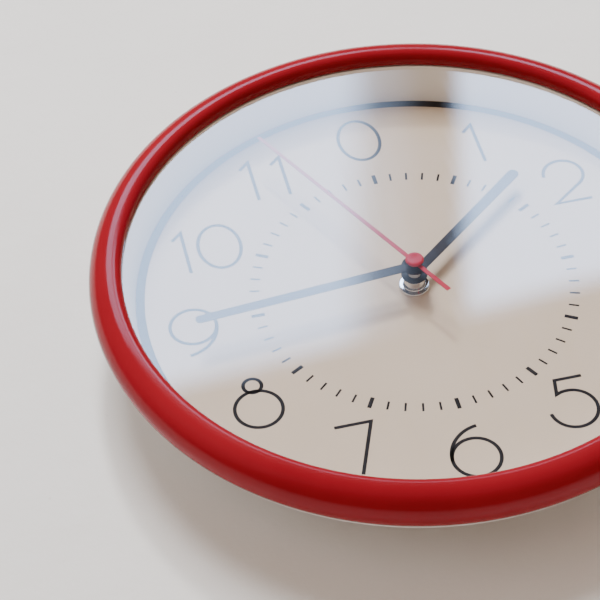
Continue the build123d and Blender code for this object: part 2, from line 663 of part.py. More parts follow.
def third_wheel():
    """Wheel between second pinion and centre wheel."""
    return compound_wheel((THIRD_WHEEL_TEETH, third_module, wheel_span(LEVEL_THIRD), 0),
                          (THIRD_PINION_TEETH, centre_module, pinion_span(LEVEL_CENTRE), third_phase),
                          third_at, POST_RADIUS + RUN_FIT)


def fifth_wheel():
    """Wheel between rotor and second wheel."""
    return compound_wheel((FIFTH_WHEEL_TEETH, ROTOR_MODULE, wheel_span(LEVEL_FIFTH), 0),
                          (FIFTH_PINION_TEETH, FIFTH_MODULE, pinion_span(LEVEL_SECOND), fifth_phase),
                          fifth_at, POST_RADIUS + RUN_FIT)


def second_wheel():
    """Second wheel and pinion, moulded on the second arbor."""
    return compound_wheel((SECOND_WHEEL_TEETH, FIFTH_MODULE, wheel_span(LEVEL_SECOND), 0),
                          (SECOND_PINION_TEETH, third_module, pinion_span(LEVEL_THIRD), second_phase),
                          (0, 0), SECOND_ARBOR_RADIUS)


def second_arbor():
    """Steel arbor of the second hand, through the minute pipe."""
    return disc(SECOND_ARBOR_RADIUS, cover_front + RUN_FIT, socket_low + SOCKET_LENGTH - RUN_FIT)


rotor_low = pinion_span(LEVEL_FIFTH)[0]
magnet_low = core_z - ROTOR_LENGTH / 2 - LAMINATION / 2
magnet_high = magnet_low + ROTOR_LENGTH


def rotor_pinion():
    """Rotor's pinion and hub."""
    body = gear(ROTOR_PINION_TEETH, ROTOR_MODULE, *pinion_span(LEVEL_FIFTH), rotor_phase, rotor_at)
    body += disc(ROTOR_HUB_RADIUS, pinion_span(LEVEL_FIFTH)[1], magnet_high, rotor_at)
    return body - disc(ROTOR_POST_RADIUS + RUN_FIT, rotor_low - 1, magnet_high + 1, rotor_at)


def rotor_magnet():
    """Ring magnet of the rotor."""
    return tube(ROTOR_RADIUS, ROTOR_HUB_RADIUS, magnet_low, magnet_high, rotor_at)


def set_knob():
    """Time-setting knob with its shaft and gear."""
    knob_high = cover_back - KNOB_GAP
    knob_low = knob_high - KNOB_THICKNESS
    gear_low, gear_high = pinion_span(LEVEL_WORK)
    knob = disc(KNOB_RADIUS, knob_low, knob_high, set_at)
    knob = chamfer(knob.edges().group_by(Axis.Z)[0], KNOB_GAP)
    for number in range(KNOB_GRIPS):
        place = polar(KNOB_RADIUS + KNOB_GRIP_RADIUS / 3, 360 * number / KNOB_GRIPS, set_at)
        knob -= disc(KNOB_GRIP_RADIUS, knob_low - 1, knob_high + 1, place)
    knob += disc(SET_SHAFT_RADIUS, knob_high, gear_low, set_at)
    knob += gear(SET_GEAR_TEETH, work_module, gear_low, gear_high, set_phase, set_at)
    return knob - disc(WORK_POST_RADIUS + RUN_FIT, gear_low, gear_high + 1, set_at)


# ---- movement shells -----------------------------------------------------------------------------
def movement_block(low, high, margin=0.0):
    """Square body of the movement with rounded corners, grown or shrunk by a margin."""
    side = MOVEMENT_WIDTH + 2 * margin
    corner = max(MOVEMENT_CORNER + margin, 0.3)
    return Pos(0, 0, low) * extrude(RectangleRounded(side, side, corner), high - low)


def movement_base():
    """Front shell: front wall, side walls, battery partition and the posts of the motion work."""
    partition_high = partition_low + MOVEMENT_WALL
    shell = movement_block(cover_front, movement_front)
    shell -= movement_block(cover_front, base_inner, -MOVEMENT_WALL)
    shell += block(-inner_half, inner_half, partition_low, partition_high, cover_front, base_inner)
    shell += disc(WORK_POST_RADIUS, wheel_span(LEVEL_WORK)[0], base_inner, work_at)
    shell += disc(WORK_POST_RADIUS, pinion_span(LEVEL_WORK)[0] + KNOB_GAP, base_inner, set_at)
    for place in board_pegs():
        shell += disc(WORK_POST_RADIUS * 2, board_top, base_inner, place)
    strip_low, strip_high = strip_levels()
    notch = CONTACT_THICKNESS + 2 * CONTACT_GAP
    for side in (-1, 1):
        near, far = sorted((side * inner_half, side * (inner_half - notch)))
        shell -= block(near, far, partition_low - 1, partition_high + 1,
                       strip_low - CONTACT_GAP, strip_high + CONTACT_GAP)
    for side in (-1, 1):
        shell -= Pos(side * half_width, battery_y, cover_front) * Rot(0, 90, 0) * Cylinder(
            BATTERY_DIAMETER / 3, 4 * MOVEMENT_WALL)
    return shell - disc(BUSH_RADIUS, base_inner - 1, movement_front + 1)


def movement_cover():
    """Rear cover over the train, with the wheel posts; the battery bay stays open."""
    cover = movement_block(cover_back, cover_front)
    below, above = cover_back - 1, cover_front + 1
    cover -= block(-half_width - 1, half_width + 1, -half_width - 1, partition_low, below, above)
    cover += disc(POST_RADIUS, cover_front, pinion_span(LEVEL_CENTRE)[1] + PINION_OVERLAP, third_at)
    cover += disc(POST_RADIUS, cover_front, pinion_span(LEVEL_SECOND)[1] + PINION_OVERLAP, fifth_at)
    cover += disc(ROTOR_POST_RADIUS, cover_front, magnet_high + PINION_OVERLAP, rotor_at)
    cover += disc(SECOND_ARBOR_RADIUS * 2.5, cover_front, rotor_low + RUN_FIT, (0, 0))
    cover -= disc(SECOND_ARBOR_RADIUS + RUN_FIT, cover_front, rotor_low + 1, (0, 0))
    for place in stator_pegs():
        cover += disc(WORK_POST_RADIUS, cover_front, stator_low, place)
    for row in range(3):
        y = half_width - MOVEMENT_CORNER * (3 + 2 * row)
        cover -= block(-half_width / 2, 0, y, y + MOVEMENT_WALL, below, cover_back + MOVEMENT_WALL / 2)
    return cover - disc(SET_SHAFT_RADIUS + RUN_FIT, below, above, set_at)


# ---- motor ---------------------------------------------------------------------------------------
leg_top = COIL_Y + CORE_WIDTH / 2
left_leg = (coil_left - LEG_WIDTH, coil_left)
right_leg = (coil_right, coil_right + LEG_WIDTH)
yoke_in = ROTOR_RADIUS + ROTOR_GAP
yoke_out = yoke_in + YOKE_WIDTH
bridge_low = COIL_Y - COIL_CHEEK - CONTACT_THICKNESS - LEG_WIDTH * 0.8
bridge_high = COIL_Y - COIL_CHEEK - CONTACT_THICKNESS


def stator_pegs():
    """Where the cover's pegs carry the stator."""
    return [(sum(left_leg) / 2, bridge_low), (sum(right_leg) / 2, COIL_Y)]


def board_pegs():
    """Where the base's pegs hold the circuit board."""
    return [(inner_half - MOVEMENT_CORNER * 2, BOARD_BOTTOM + MOVEMENT_CORNER),
            (BOARD_LEFT + MOVEMENT_CORNER, inner_half - MOVEMENT_CORNER * 2)]


def stator():
    """Soft-iron plate round the rotor with a leg to each end of the coil."""
    x, y = rotor_at
    low, high = stator_low, stator_low + LAMINATION
    plate = disc(yoke_out, low, high, rotor_at)
    plate += block(left_leg[0], x - yoke_in + 1, y + 1, y + 1 + LEG_WIDTH, low, high)
    plate += block(*left_leg, y + 1, leg_top, low, high)
    plate += block(x + yoke_in - YOKE_WIDTH, x + yoke_out, y, bridge_high, low, high)
    plate += block(x + yoke_in - YOKE_WIDTH, right_leg[1], bridge_low, bridge_high, low, high)
    plate += block(*right_leg, bridge_low, leg_top, low, high)
    plate -= disc(yoke_in, low - 1, high + 1, rotor_at)
    for turn in (45, 225):
        plate -= disc(ROTOR_GAP, low - 1, high + 1, polar(yoke_in, turn, rotor_at))
    return plate


def coil_core():
    """Strip through the coil, lying on both legs."""
    core_high = core_low + LAMINATION
    return block(left_leg[0], right_leg[1], COIL_Y - CORE_WIDTH / 2, leg_top, core_low, core_high)


def coil_bobbin():
    """Square-cheeked bobbin on the core."""
    gap = CONTACT_GAP
    x_low, x_high = coil_left + gap, coil_right - gap
    cheek = COIL_CHEEK_THICKNESS
    half = COIL_CHEEK
    tube_half = CORE_WIDTH / 2 + cheek
    bobbin = block(x_low, x_high, COIL_Y - tube_half, COIL_Y + tube_half,
                   core_z - tube_half / 2, core_z + tube_half / 2)
    for start in (x_low, x_high - cheek):
        bobbin += block(start, start + cheek, COIL_Y - half, COIL_Y + half, core_z - half, core_z + half)
    return bobbin - block(x_low - 1, x_high + 1, COIL_Y - CORE_WIDTH / 2, leg_top,
                          core_low, core_low + LAMINATION)


def coil_winding():
    """Copper winding between the cheeks."""
    x_low = coil_left + CONTACT_GAP + COIL_CHEEK_THICKNESS
    x_high = coil_right - CONTACT_GAP - COIL_CHEEK_THICKNESS
    tube_half = CORE_WIDTH / 2 + COIL_CHEEK_THICKNESS
    drum = Pos((x_low + x_high) / 2, COIL_Y, core_z) * Rot(0, 90, 0) * Cylinder(COIL_RADIUS, x_high - x_low)
    return drum - block(x_low - 1, x_high + 1, COIL_Y - tube_half, COIL_Y + tube_half,
                        core_z - tube_half / 2, core_z + tube_half / 2)


# ---- electronics ---------------------------------------------------------------------------------
def circuit_board():
    """Small circuit board in the movement's corner."""
    edge = inner_half - BOARD_EDGE_GAP
    return block(BOARD_LEFT, edge, BOARD_BOTTOM, edge, board_low, board_top)


def driver_chip():
    """Blob of resin over the chip."""
    blob_radius = 3.0
    blob_height = 1.2
    ball = (blob_radius ** 2 + blob_height ** 2) / (2 * blob_height)
    centre = ((BOARD_LEFT + inner_half) / 2, BOARD_BOTTOM + MOVEMENT_CORNER * 3)
    dome = Pos(*centre, board_top + blob_height - ball) * Sphere(ball)
    return dome & disc(2 * blob_radius, board_top, board_top + 2 * blob_height, centre)


def quartz_crystal():
    """Can of the quartz crystal, lying on the board."""
    can_radius = 1.0
    can_length = 6.0
    x = (BOARD_LEFT + inner_half) / 2 + MOVEMENT_CORNER
    y = inner_half - MOVEMENT_CORNER * 3
    return Pos(x, y, board_top + can_radius) * Rot(0, 90, 0) * Cylinder(can_radius, can_length)


def strip_levels():
    """Levels between which the contact strips run."""
    return core_z, core_z + STRIP_WIDTH


def contact_plate(x_low):
    """Upright plate at one end of the battery bay."""
    half = BATTERY_DIAMETER / 3
    return block(x_low, x_low + CONTACT_THICKNESS, battery_y - half, battery_y + half,
                 battery_z - half, battery_z + half)


def positive_contact():
    """Plate at the battery's nub, with its strip to the circuit board."""
    low, high = strip_levels()
    strip = block(positive_x, positive_x + CONTACT_THICKNESS, battery_y, BOARD_BOTTOM + LEG_WIDTH, low, high)
    return contact_plate(positive_x) + strip


def negative_contact():
    """Plate with a coil spring, and its strip round the corner to the circuit board."""
    wire = CONTACT_THICKNESS / 2
    start = negative_x + CONTACT_THICKNESS
    room = battery_left - BATTERY_END_GAP - start - 2 * wire
    low, high = strip_levels()
    top = inner_half - CONTACT_GAP
    plate = contact_plate(negative_x)
    plate += block(negative_x, start, battery_y, top, low, high)
    plate += block(negative_x, BOARD_LEFT, top - CONTACT_THICKNESS, top, low, high)
    coil_radius = BATTERY_DIAMETER / 5
    path = Helix(room / 2, room, coil_radius, direction=(1, 0, 0))
    wire_face = Plane(path @ 0, z_dir=path % 0) * Circle(wire)
    spring = Pos(start + wire / 2, battery_y, battery_z) * sweep(wire_face, path, is_frenet=True)
    return plate + spring


def battery():
    """One AA cell with its nub towards 3 o'clock."""
    can = Pos(battery_left, battery_y, battery_z) * Rot(0, 90, 0) * Cylinder(
        BATTERY_DIAMETER / 2, BATTERY_BODY, align=(Align.CENTER, Align.CENTER, Align.MIN))
    can = fillet(can.edges().filter_by(GeomType.CIRCLE), CONTACT_THICKNESS)
    nub = Pos(battery_left + BATTERY_BODY, battery_y, battery_z) * Rot(0, 90, 0) * Cylinder(
        BATTERY_NUB_RADIUS, BATTERY_NUB_LENGTH, align=(Align.CENTER, Align.CENTER, Align.MIN))
    return can + nub


PIECES = {
    "bezel": bezel, "lens": lens, "reflector_ring": reflector_ring, "dial": dial, "rear_case": rear_case,
    "case_screws": case_screws, "threaded_bush": threaded_bush, "rubber_washer": rubber_washer,
    "dial_washer": dial_washer, "dial_nut": dial_nut, "hour_hand": hour_hand, "hour_collet": hour_collet,
    "hour_wheel": hour_wheel, "minute_hand": minute_hand, "minute_collet": minute_collet,
    "hand_nut": hand_nut, "minute_pipe": minute_pipe, "centre_wheel": centre_wheel,
    "minute_work_wheel": minute_work_wheel, "second_hand": second_hand, "second_cap": second_cap,
    "second_socket": second_socket, "second_arbor": second_arbor, "second_wheel": second_wheel,
    "third_wheel": third_wheel, "fifth_wheel": fifth_wheel, "rotor_pinion": rotor_pinion,
    "rotor_magnet": rotor_magnet, "set_knob": set_knob, "movement_base": movement_base,
    "movement_cover": movement_cover, "stator": stator, "coil_core": coil_core, "coil_bobbin": coil_bobbin,
    "coil_winding": coil_winding, "circuit_board": circuit_board, "driver_chip": driver_chip,
    "quartz_crystal": quartz_crystal, "positive_contact": positive_contact,
    "negative_contact": negative_contact, "battery": battery,
}

os.makedirs("parts", exist_ok=True)
for name, make in PIECES.items():
    export_step(hang(make()), f"parts/{name}.step")
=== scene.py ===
"""Round wall clock: glossy ring, flat lens, printed dial, bar hands, quartz movement behind.

Bench coordinates are used for every new piece: millimetres, x to 3 o'clock, y to 12 o'clock, both from the
hand axis, and z from the wall plane towards the viewer. `Bench` turns them into the model's own frame.
"""

from __future__ import annotations

import json
import logging
import math
from collections.abc import Callable, Sequence
from dataclasses import dataclass, field
from enum import Enum

import bmesh
import bpy
import numpy as np
from mathutils import Matrix, Vector

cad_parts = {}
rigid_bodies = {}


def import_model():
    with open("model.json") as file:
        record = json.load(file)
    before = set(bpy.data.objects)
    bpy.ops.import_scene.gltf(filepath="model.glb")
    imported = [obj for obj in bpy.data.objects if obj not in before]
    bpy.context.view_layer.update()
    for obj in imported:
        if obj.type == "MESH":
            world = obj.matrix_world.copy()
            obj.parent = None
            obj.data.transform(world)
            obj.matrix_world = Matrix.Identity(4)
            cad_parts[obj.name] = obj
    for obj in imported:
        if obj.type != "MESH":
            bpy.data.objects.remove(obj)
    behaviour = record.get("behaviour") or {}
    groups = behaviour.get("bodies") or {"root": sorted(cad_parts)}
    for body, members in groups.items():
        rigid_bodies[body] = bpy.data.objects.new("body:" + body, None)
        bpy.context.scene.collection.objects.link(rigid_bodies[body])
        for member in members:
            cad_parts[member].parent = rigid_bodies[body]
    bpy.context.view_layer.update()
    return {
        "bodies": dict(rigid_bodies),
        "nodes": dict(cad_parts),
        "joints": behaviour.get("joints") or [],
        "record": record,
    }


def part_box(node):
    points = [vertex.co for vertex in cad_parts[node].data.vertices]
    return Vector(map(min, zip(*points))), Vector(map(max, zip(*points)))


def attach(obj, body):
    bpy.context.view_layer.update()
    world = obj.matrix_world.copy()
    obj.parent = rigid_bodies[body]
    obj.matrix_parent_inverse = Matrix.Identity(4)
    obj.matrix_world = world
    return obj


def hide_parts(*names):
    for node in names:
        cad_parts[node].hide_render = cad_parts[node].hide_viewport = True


LOG = logging.getLogger("wall_clock")
MILLIMETRE = 0.001
WELD = 1e-7  # metres within which vertices are joined
POLE = 0.01  # millimetres, radius of the ring of points that a cap closes on the axis
Point = tuple[float, float]
Colour = tuple[float, float, float]


# ---- frame ---------------------------------------------------------------------------------------
class Bench:
    """Bench coordinates of the clock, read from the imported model's boxes."""

    def __init__(self) -> None:
        """Reads the hand axis and the dial's front face."""
        low, high = (np.array(corner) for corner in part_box("dial"))
        self.axis = np.array([(low[0] + high[0]) / 2, 0.0, (low[2] + high[2]) / 2])
        self.face = -low[1] / MILLIMETRE

    def place(self, points: np.ndarray) -> np.ndarray:
        """Row-frame positions of bench points.

        Args:
            points: array (..., 3) in bench millimetres.

        Returns:
            Array of the same shape in metres: (x, -z, y) moved to the hand axis.
        """
        row = np.stack([points[..., 0], -points[..., 2], points[..., 1]], axis=-1)
        return row * MILLIMETRE + self.axis

    def level(self, height: float) -> float:
        """Bench z of a height above the dial's face."""
        return self.face + height


# ---- outlines and grids --------------------------------------------------------------------------
def soften(corners: Sequence[tuple[float, float, float]], steps: int = 5) -> np.ndarray:
    """Closed outline with rounded corners.

    Each corner (x, y, radius) becomes an arc tangent to both its edges: the arc's middle lies on the corner's
    bisector, radius / sin(half angle) away, and its ends lie radius / tan(half angle) along the edges.

    Args:
        corners: corner positions with a radius each; radius 0 keeps the corner.
        steps: segments in each arc.

    Returns:
        Array (n, 2) of outline points.
    """
    data = np.array(corners, dtype=float)
    spots = data[:, :2]
    back = np.roll(spots, 1, axis=0) - spots
    ahead = np.roll(spots, -1, axis=0) - spots
    points = []
    for spot, radius, one, two in zip(spots, data[:, 2], back, ahead):
        if radius <= 0:
            points.append(spot[None, :])
            continue
        one_length, two_length = np.linalg.norm(one), np.linalg.norm(two)
        one, two = one / one_length, two / two_length
        half = math.acos(float(np.clip(one @ two, -1, 1))) / 2
        reach = min(radius / math.tan(half), 0.49 * min(one_length, two_length))
        true_radius = reach * math.tan(half)
        bisector = (one + two) / np.linalg.norm(one + two)
        middle = spot + bisector * true_radius / math.sin(half)
        start, end = spot + one * reach - middle, spot + two * reach - middle
        first = math.atan2(start[1], start[0])
        sweep = (math.atan2(end[1], end[0]) - first + math.pi) % (2 * math.pi) - math.pi
        angles = first + sweep * np.linspace(0, 1, steps + 1)
        points.append(middle + true_radius * np.stack([np.cos(angles), np.sin(angles)], axis=1))
    return np.concatenate(points)


def arc(centre: Point, radius: float, start: float, end: float, steps: int) -> np.ndarray:
    """Points on a circle from one angle to another, in degrees."""
    angles = np.radians(np.linspace(start, end, steps + 1))
    return np.array(centre) + radius * np.stack([np.cos(angles), np.sin(angles)], axis=1)


def turned(profile: np.ndarray, segments: int, centre: Point = (0.0, 0.0)) -> np.ndarray:
    """Grid of a surface of revolution.

    Point (i, j) is profile point i, given as (radius, z), turned about the centre by j equal steps.

    Args:
        profile: array (n, 2) of radius and level.
        segments: steps in a full turn.
        centre: the axis in the bench plane.

    Returns:
        Grid (n, segments, 3).
    """
    angles = 2 * np.pi * np.arange(segments) / segments
    radius, level = profile[:, :1], profile[:, 1:]
    x = centre[0] + radius * np.cos(angles)
    y = centre[1] + radius * np.sin(angles)
    return np.stack([x, y, np.broadcast_to(level, x.shape)], axis=-1)


def rectangle(x: Point, y: Point, corner: float, steps: int = 6) -> np.ndarray:
    """Closed outline of a rectangle with rounded corners, from its low and high x and y."""
    return soften([(x[0], y[0], corner), (x[1], y[0], corner), (x[1], y[1], corner), (x[0], y[1], corner)], steps)


def at_level(flat: np.ndarray, level: float | np.ndarray) -> np.ndarray:
    """Plane points (n, 2) lifted to one level, or each to its own, as (n, 3)."""
    return np.column_stack([flat, np.broadcast_to(level, len(flat))])


def offset_outline(outline: np.ndarray, distance: float) -> np.ndarray:
    """Outline moved outwards: each point goes along the mean of its two edges' outward normals."""
    ahead = np.roll(outline, -1, axis=0) - outline
    ahead /= np.linalg.norm(ahead, axis=1, keepdims=True) + 1e-12
    normal = np.stack([ahead[:, 1], -ahead[:, 0]], axis=1)
    mean = normal + np.roll(normal, 1, axis=0)
    mean /= np.linalg.norm(mean, axis=1, keepdims=True)
    stretch = np.clip((mean * normal).sum(axis=1, keepdims=True), 0.5, 1)
    area = np.sum(outline[:, 0] * np.roll(outline[:, 1], -1) - np.roll(outline[:, 0], -1) * outline[:, 1])
    return outline + math.copysign(distance, area) * mean / stretch


def slab(outline: np.ndarray, low: float, high: float, edge: float, steps: int = 3) -> np.ndarray:
    """Grid of a flat plate with rounded rims.

    The outline shrinks by edge * (1 - cos t) while the level moves by edge * (1 - sin t) on each rim.

    Args:
        outline: array (n, 2), closed.
        low: lowest level.
        high: highest level.
        edge: radius of both rims.
        steps: segments of each rim.

    Returns:
        Grid (2 * steps + 2, n, 3) whose first and last rows are to be capped.
    """
    turn = np.linspace(0, np.pi / 2, steps + 1)
    inset = edge * (1 - np.sin(turn))
    rise = edge * (1 - np.cos(turn))
    rings = [at_level(offset_outline(outline, -i), low + r) for i, r in zip(inset, rise)]
    rings += [at_level(offset_outline(outline, -i), high - r) for i, r in zip(inset[::-1], rise[::-1])]
    return np.stack(rings)


def ribbon(path: np.ndarray, width: float, low: float, high: float, closed: bool) -> np.ndarray:
    """Grid of a flat stroke along a path.

    At each path point the left and right edges stand half a width away along the mitred normal, and the
    cross-section is a rectangle between two levels.

    Args:
        path: array (n, 2) of the stroke's middle line.
        width: stroke width.
        low: underside level.
        high: top level.
        closed: whether the path is a loop.

    Returns:
        Grid (n, 4, 3) of rectangle corners along the path.
    """
    if closed:
        before, after = np.roll(path, 1, axis=0), np.roll(path, -1, axis=0)
    else:
        before = np.vstack([2 * path[0] - path[1], path[:-1]])
        after = np.vstack([path[1:], 2 * path[-1] - path[-2]])
    into, out = path - before, after - path
    into /= np.linalg.norm(into, axis=1, keepdims=True)
    out /= np.linalg.norm(out, axis=1, keepdims=True)
    along = into + out
    along /= np.linalg.norm(along, axis=1, keepdims=True)
    side = np.stack([-along[:, 1], along[:, 0]], axis=1)
    mitre = np.clip((along * out).sum(axis=1, keepdims=True), 0.4, 1)
    left, right = path + side * width / 2 / mitre, path - side * width / 2 / mitre
    return np.stack([at_level(left, low), at_level(left, high), at_level(right, high), at_level(right, low)], axis=1)


@dataclass
class Mesh:
    """Vertices and faces gathered from several grids, in bench millimetres."""

    bench: Bench
    points: list[np.ndarray] = field(default_factory=list)
    faces: list[tuple[int, ...]] = field(default_factory=list)
    count: int = 0

    def add(self, grid: np.ndarray, loop_rows: bool = False, loop_columns: bool = True,
            caps: bool = False) -> Mesh:
        """Joins neighbouring grid points with four-sided faces.

        Args:
            grid: array (rows, columns, 3).
            loop_rows: whether the last row meets the first.
            loop_columns: whether the last column meets the first.
            caps: whether the first and last rows are closed with one face each.

        Returns:
            The mesh itself, so calls can be chained.
        """
        rows, columns = grid.shape[:2]
        index = np.arange(rows * columns).reshape(rows, columns) + self.count
        row_ends = index if not loop_rows else np.vstack([index, index[:1]])
        ends = row_ends if not loop_columns else np.hstack([row_ends, row_ends[:, :1]])
        quads = np.stack([ends[:-1, :-1], ends[1:, :-1], ends[1:, 1:], ends[:-1, 1:]], axis=-1)
        self.faces += [tuple(quad) for quad in quads.reshape(-1, 4).tolist()]
        if caps:
            self.faces += [tuple(index[0].tolist()), tuple(index[-1][::-1].tolist())]
        self.points.append(grid.reshape(-1, 3))
        self.count += rows * columns
        return self

    def piece(self, name: str, smooth_angle: float = 35.0) -> bpy.types.Object:
        """Makes the object: outward normals, smooth faces, sharp edges past an angle in degrees."""
        mesh = bpy.data.meshes.new(name)
        places = self.bench.place(np.concatenate(self.points))
        mesh.from_pydata(places.tolist(), [], self.faces)
        work = bmesh.new()
        work.from_mesh(mesh)
        bmesh.ops.remove_doubles(work, verts=work.verts, dist=WELD)
        bmesh.ops.recalc_face_normals(work, faces=work.faces)
        work.to_mesh(mesh)
        work.free()
        mesh.shade_smooth()
        mesh.set_sharp_from_angle(angle=math.radians(smooth_angle))
        made = bpy.data.objects.new(name, mesh)
        bpy.context.scene.collection.objects.link(made)
        flatten = made.modifiers.new("flat_faces", "WEIGHTED_NORMAL")
        flatten.keep_sharp = True
        return made


# ---- finishes ------------------------------------------------------------------------------------
class Graph:
    """Small helper round one material's node tree."""

    def __init__(self, name: str) -> None:
        """Starts an empty material with one output."""
        self.material = bpy.data.materials.new(name)
        self.material.use_nodes = True
        self.tree = self.material.node_tree
        self.tree.nodes.clear()
        self.output = self.tree.nodes.new("ShaderNodeOutputMaterial")

    def node(self, kind: str, links: dict[str, object] | None = None, **settings: object) -> bpy.types.Node:
        """Adds a node.

        Args:
            kind: node type without its "ShaderNode" start.
            links: input name to a socket to connect or a value to set.
            **settings: node properties.

        Returns:
            The new node.
        """
        made = self.tree.nodes.new("ShaderNode" + kind)
        for key, value in settings.items():
            setattr(made, key, value)
        for key, value in (links or {}).items():
            socket = made.inputs[int(key)] if key.isdigit() else made.inputs[key]
            if isinstance(value, bpy.types.NodeSocket):
                self.tree.links.new(value, socket)
            else:
                socket.default_value = value
        return made

    def where(self, stretch: tuple[float, float, float] = (1.0, 1.0, 1.0)) -> bpy.types.NodeSocket:
        """Object coordinates, stretched along each axis."""
        source = self.node("TexCoord").outputs["Object"]
        return self.node("Mapping", {"Vector": source, "Scale": stretch}).outputs["Vector"]

    def noise(self, scale: float, detail: float = 4.0, roughness: float = 0.55,
              stretch: tuple[float, float, float] = (1.0, 1.0, 1.0)) -> bpy.types.NodeSocket:
        """Noise between 0 and 1, with a scale in repeats per metre."""
        made = self.node("TexNoise", {"Vector": self.where(stretch), "Scale": scale, "Detail": detail,
                                      "Roughness": roughness})
        return made.outputs["Fac"]

    def spread(self, value: bpy.types.NodeSocket, low: float, high: float, to_low: float,
               to_high: float) -> bpy.types.NodeSocket:
        """Maps one range of a value to another, clamped and smooth."""
        made = self.node("MapRange", {"Value": value, "From Min": low, "From Max": high, "To Min": to_low,
                                      "To Max": to_high}, interpolation_type="SMOOTHSTEP")
        return made.outputs["Result"]

    def blend(self, factor: bpy.types.NodeSocket, one: object, two: object) -> bpy.types.NodeSocket:
        """Colour between two colours or sockets."""
        made = self.node("Mix", {"Factor": factor}, data_type="RGBA")
        for slot, value in ((6, one), (7, two)):
            if isinstance(value, bpy.types.NodeSocket):
                self.tree.links.new(value, made.inputs[slot])
            else:
                made.inputs[slot].default_value = (*value, 1.0)
        return made.outputs[2]

    def bump(self, height: bpy.types.NodeSocket, depth: float, after: bpy.types.NodeSocket | None = None,
             ) -> bpy.types.NodeSocket:
        """Normal bent by a height map whose full range is a depth in metres."""
        links: dict[str, object] = {"Height": height, "Distance": depth, "Strength": 1.0}
        if after is not None:
            links["Normal"] = after
        return self.node("Bump", links).outputs["Normal"]

    def surface(self, shader: bpy.types.NodeSocket) -> bpy.types.Material:
        """Connects the final shader and returns the material."""
        self.tree.links.new(shader, self.output.inputs["Surface"])
        return self.material


@dataclass(frozen=True)
class Finish:
    """Painted or moulded finish with soft tone changes, uneven gloss, a fine grain and hairline marks."""

    name: str
    colour: Colour
    deep: Colour
    rough: Point = (0.35, 0.5)
    tone_scale: float = 25.0
    grain_scale: float = 2500.0
    grain_depth: float = 0.00001
    wave_scale: float = 120.0
    wave_depth: float = 0.0
    mark_scale: float = 260.0
    mark_share: float = 0.15
    metal: float = 0.0
    coat: float = 0.0
    specular: float = 0.5

    def make(self) -> bpy.types.Material:
        """Builds the material: colour by wide noise, roughness by marks, bump by grain and waves."""
        graph = Graph(self.name)
        tone = graph.noise(self.tone_scale, 5.0)
        colour = graph.blend(graph.spread(tone, 0.3, 0.7, 0.0, 1.0), self.colour, self.deep)
        marks = graph.noise(self.mark_scale, 8.0, 0.7, (1.0, 1.0, 0.12))
        haze = graph.spread(marks, 0.62 - self.mark_share, 0.75, self.rough[0], self.rough[1])
        normal = graph.bump(graph.noise(self.grain_scale, 3.0), self.grain_depth)
        if self.wave_depth > 0:
            normal = graph.bump(graph.noise(self.wave_scale, 1.5), self.wave_depth, normal)
        shader = graph.node("BsdfPrincipled", {
            "Base Color": colour, "Roughness": haze, "Normal": normal, "Metallic": self.metal,
            "Coat Weight": self.coat, "Specular IOR Level": self.specular})
        return graph.surface(shader.outputs["BSDF"])


@dataclass(frozen=True)
class TurnedMetal:
    """Bright metal with fine rings from turning about the hand axis and a little uneven tarnish."""

    name: str
    colour: Colour
    deep: Colour
    axis: tuple[float, float, float]
    rough: Point = (0.08, 0.22)
    metal: float = 1.0
    ring_scale: float = 4000.0
    ring_depth: float = 0.0000015

    def make(self) -> bpy.types.Material:
        """Builds the material: ring bump from the distance to the axis, tone by noise."""
        graph = Graph(self.name)
        source = graph.node("TexCoord").outputs["Object"]
        centred = graph.node("Mapping", {"Vector": source, "Location": tuple(-c for c in self.axis)})
        flat = graph.node("Mapping", {"Vector": centred.outputs["Vector"], "Scale": (1.0, 0.35, 1.0)})
        distance = graph.node("VectorMath", {"0": flat.outputs["Vector"]}, operation="LENGTH").outputs["Value"]
        rings = graph.node("Math", {"0": distance, "1": self.ring_scale}, operation="MULTIPLY").outputs[0]
        wave = graph.node("Math", {"0": rings}, operation="SINE").outputs[0]
        tone = graph.noise(900.0, 4.0)
        colour = graph.blend(graph.spread(tone, 0.35, 0.7, 0.0, 1.0), self.colour, self.deep)
        haze = graph.spread(graph.noise(1500.0, 6.0, 0.7), 0.4, 0.75, *self.rough)
        shader = graph.node("BsdfPrincipled", {
            "Base Color": colour, "Metallic": self.metal, "Roughness": haze,
            "Normal": graph.bump(wave, self.ring_depth)})
        return graph.surface(shader.outputs["BSDF"])


@dataclass(frozen=True)
class ClearLens:
    """Clear plastic: mirror-like at its outer faces, otherwise let through, with a slight edge tint."""

    name: str = "clear_lens"
    tint: Colour = (0.965, 0.958, 0.95)
    ior: float = 1.52
    shine: float = 1.9

    def make(self) -> bpy.types.Material:
        """Builds the material: both faces' gloss shown on the face towards the viewer."""
        graph = Graph(self.name)
        fresnel = graph.node("Fresnel", {"IOR": self.ior}).outputs["Fac"]
        inside = graph.node("NewGeometry").outputs["Backfacing"]
        outside = graph.node("Math", {"0": 1.0, "1": inside}, operation="SUBTRACT").outputs[0]
        both = graph.node("Math", {"0": fresnel, "1": self.shine}, operation="MULTIPLY", use_clamp=True)
        share = graph.node("Math", {"0": both.outputs[0], "1": outside}, operation="MULTIPLY").outputs[0]
        through = graph.node("BsdfTransparent", {"Color": (*self.tint, 1.0)})
        ripple = graph.bump(graph.noise(14.0, 1.0), 0.00002)
        mirror = graph.node("BsdfGlossy", {"Color": (1.0, 1.0, 1.0, 1.0), "Roughness": 0.01, "Normal": ripple})
        mixed = graph.node("MixShader", {"0": share, "1": through.outputs[0], "2": mirror.outputs[0]})
        return graph.surface(mixed.outputs[0])


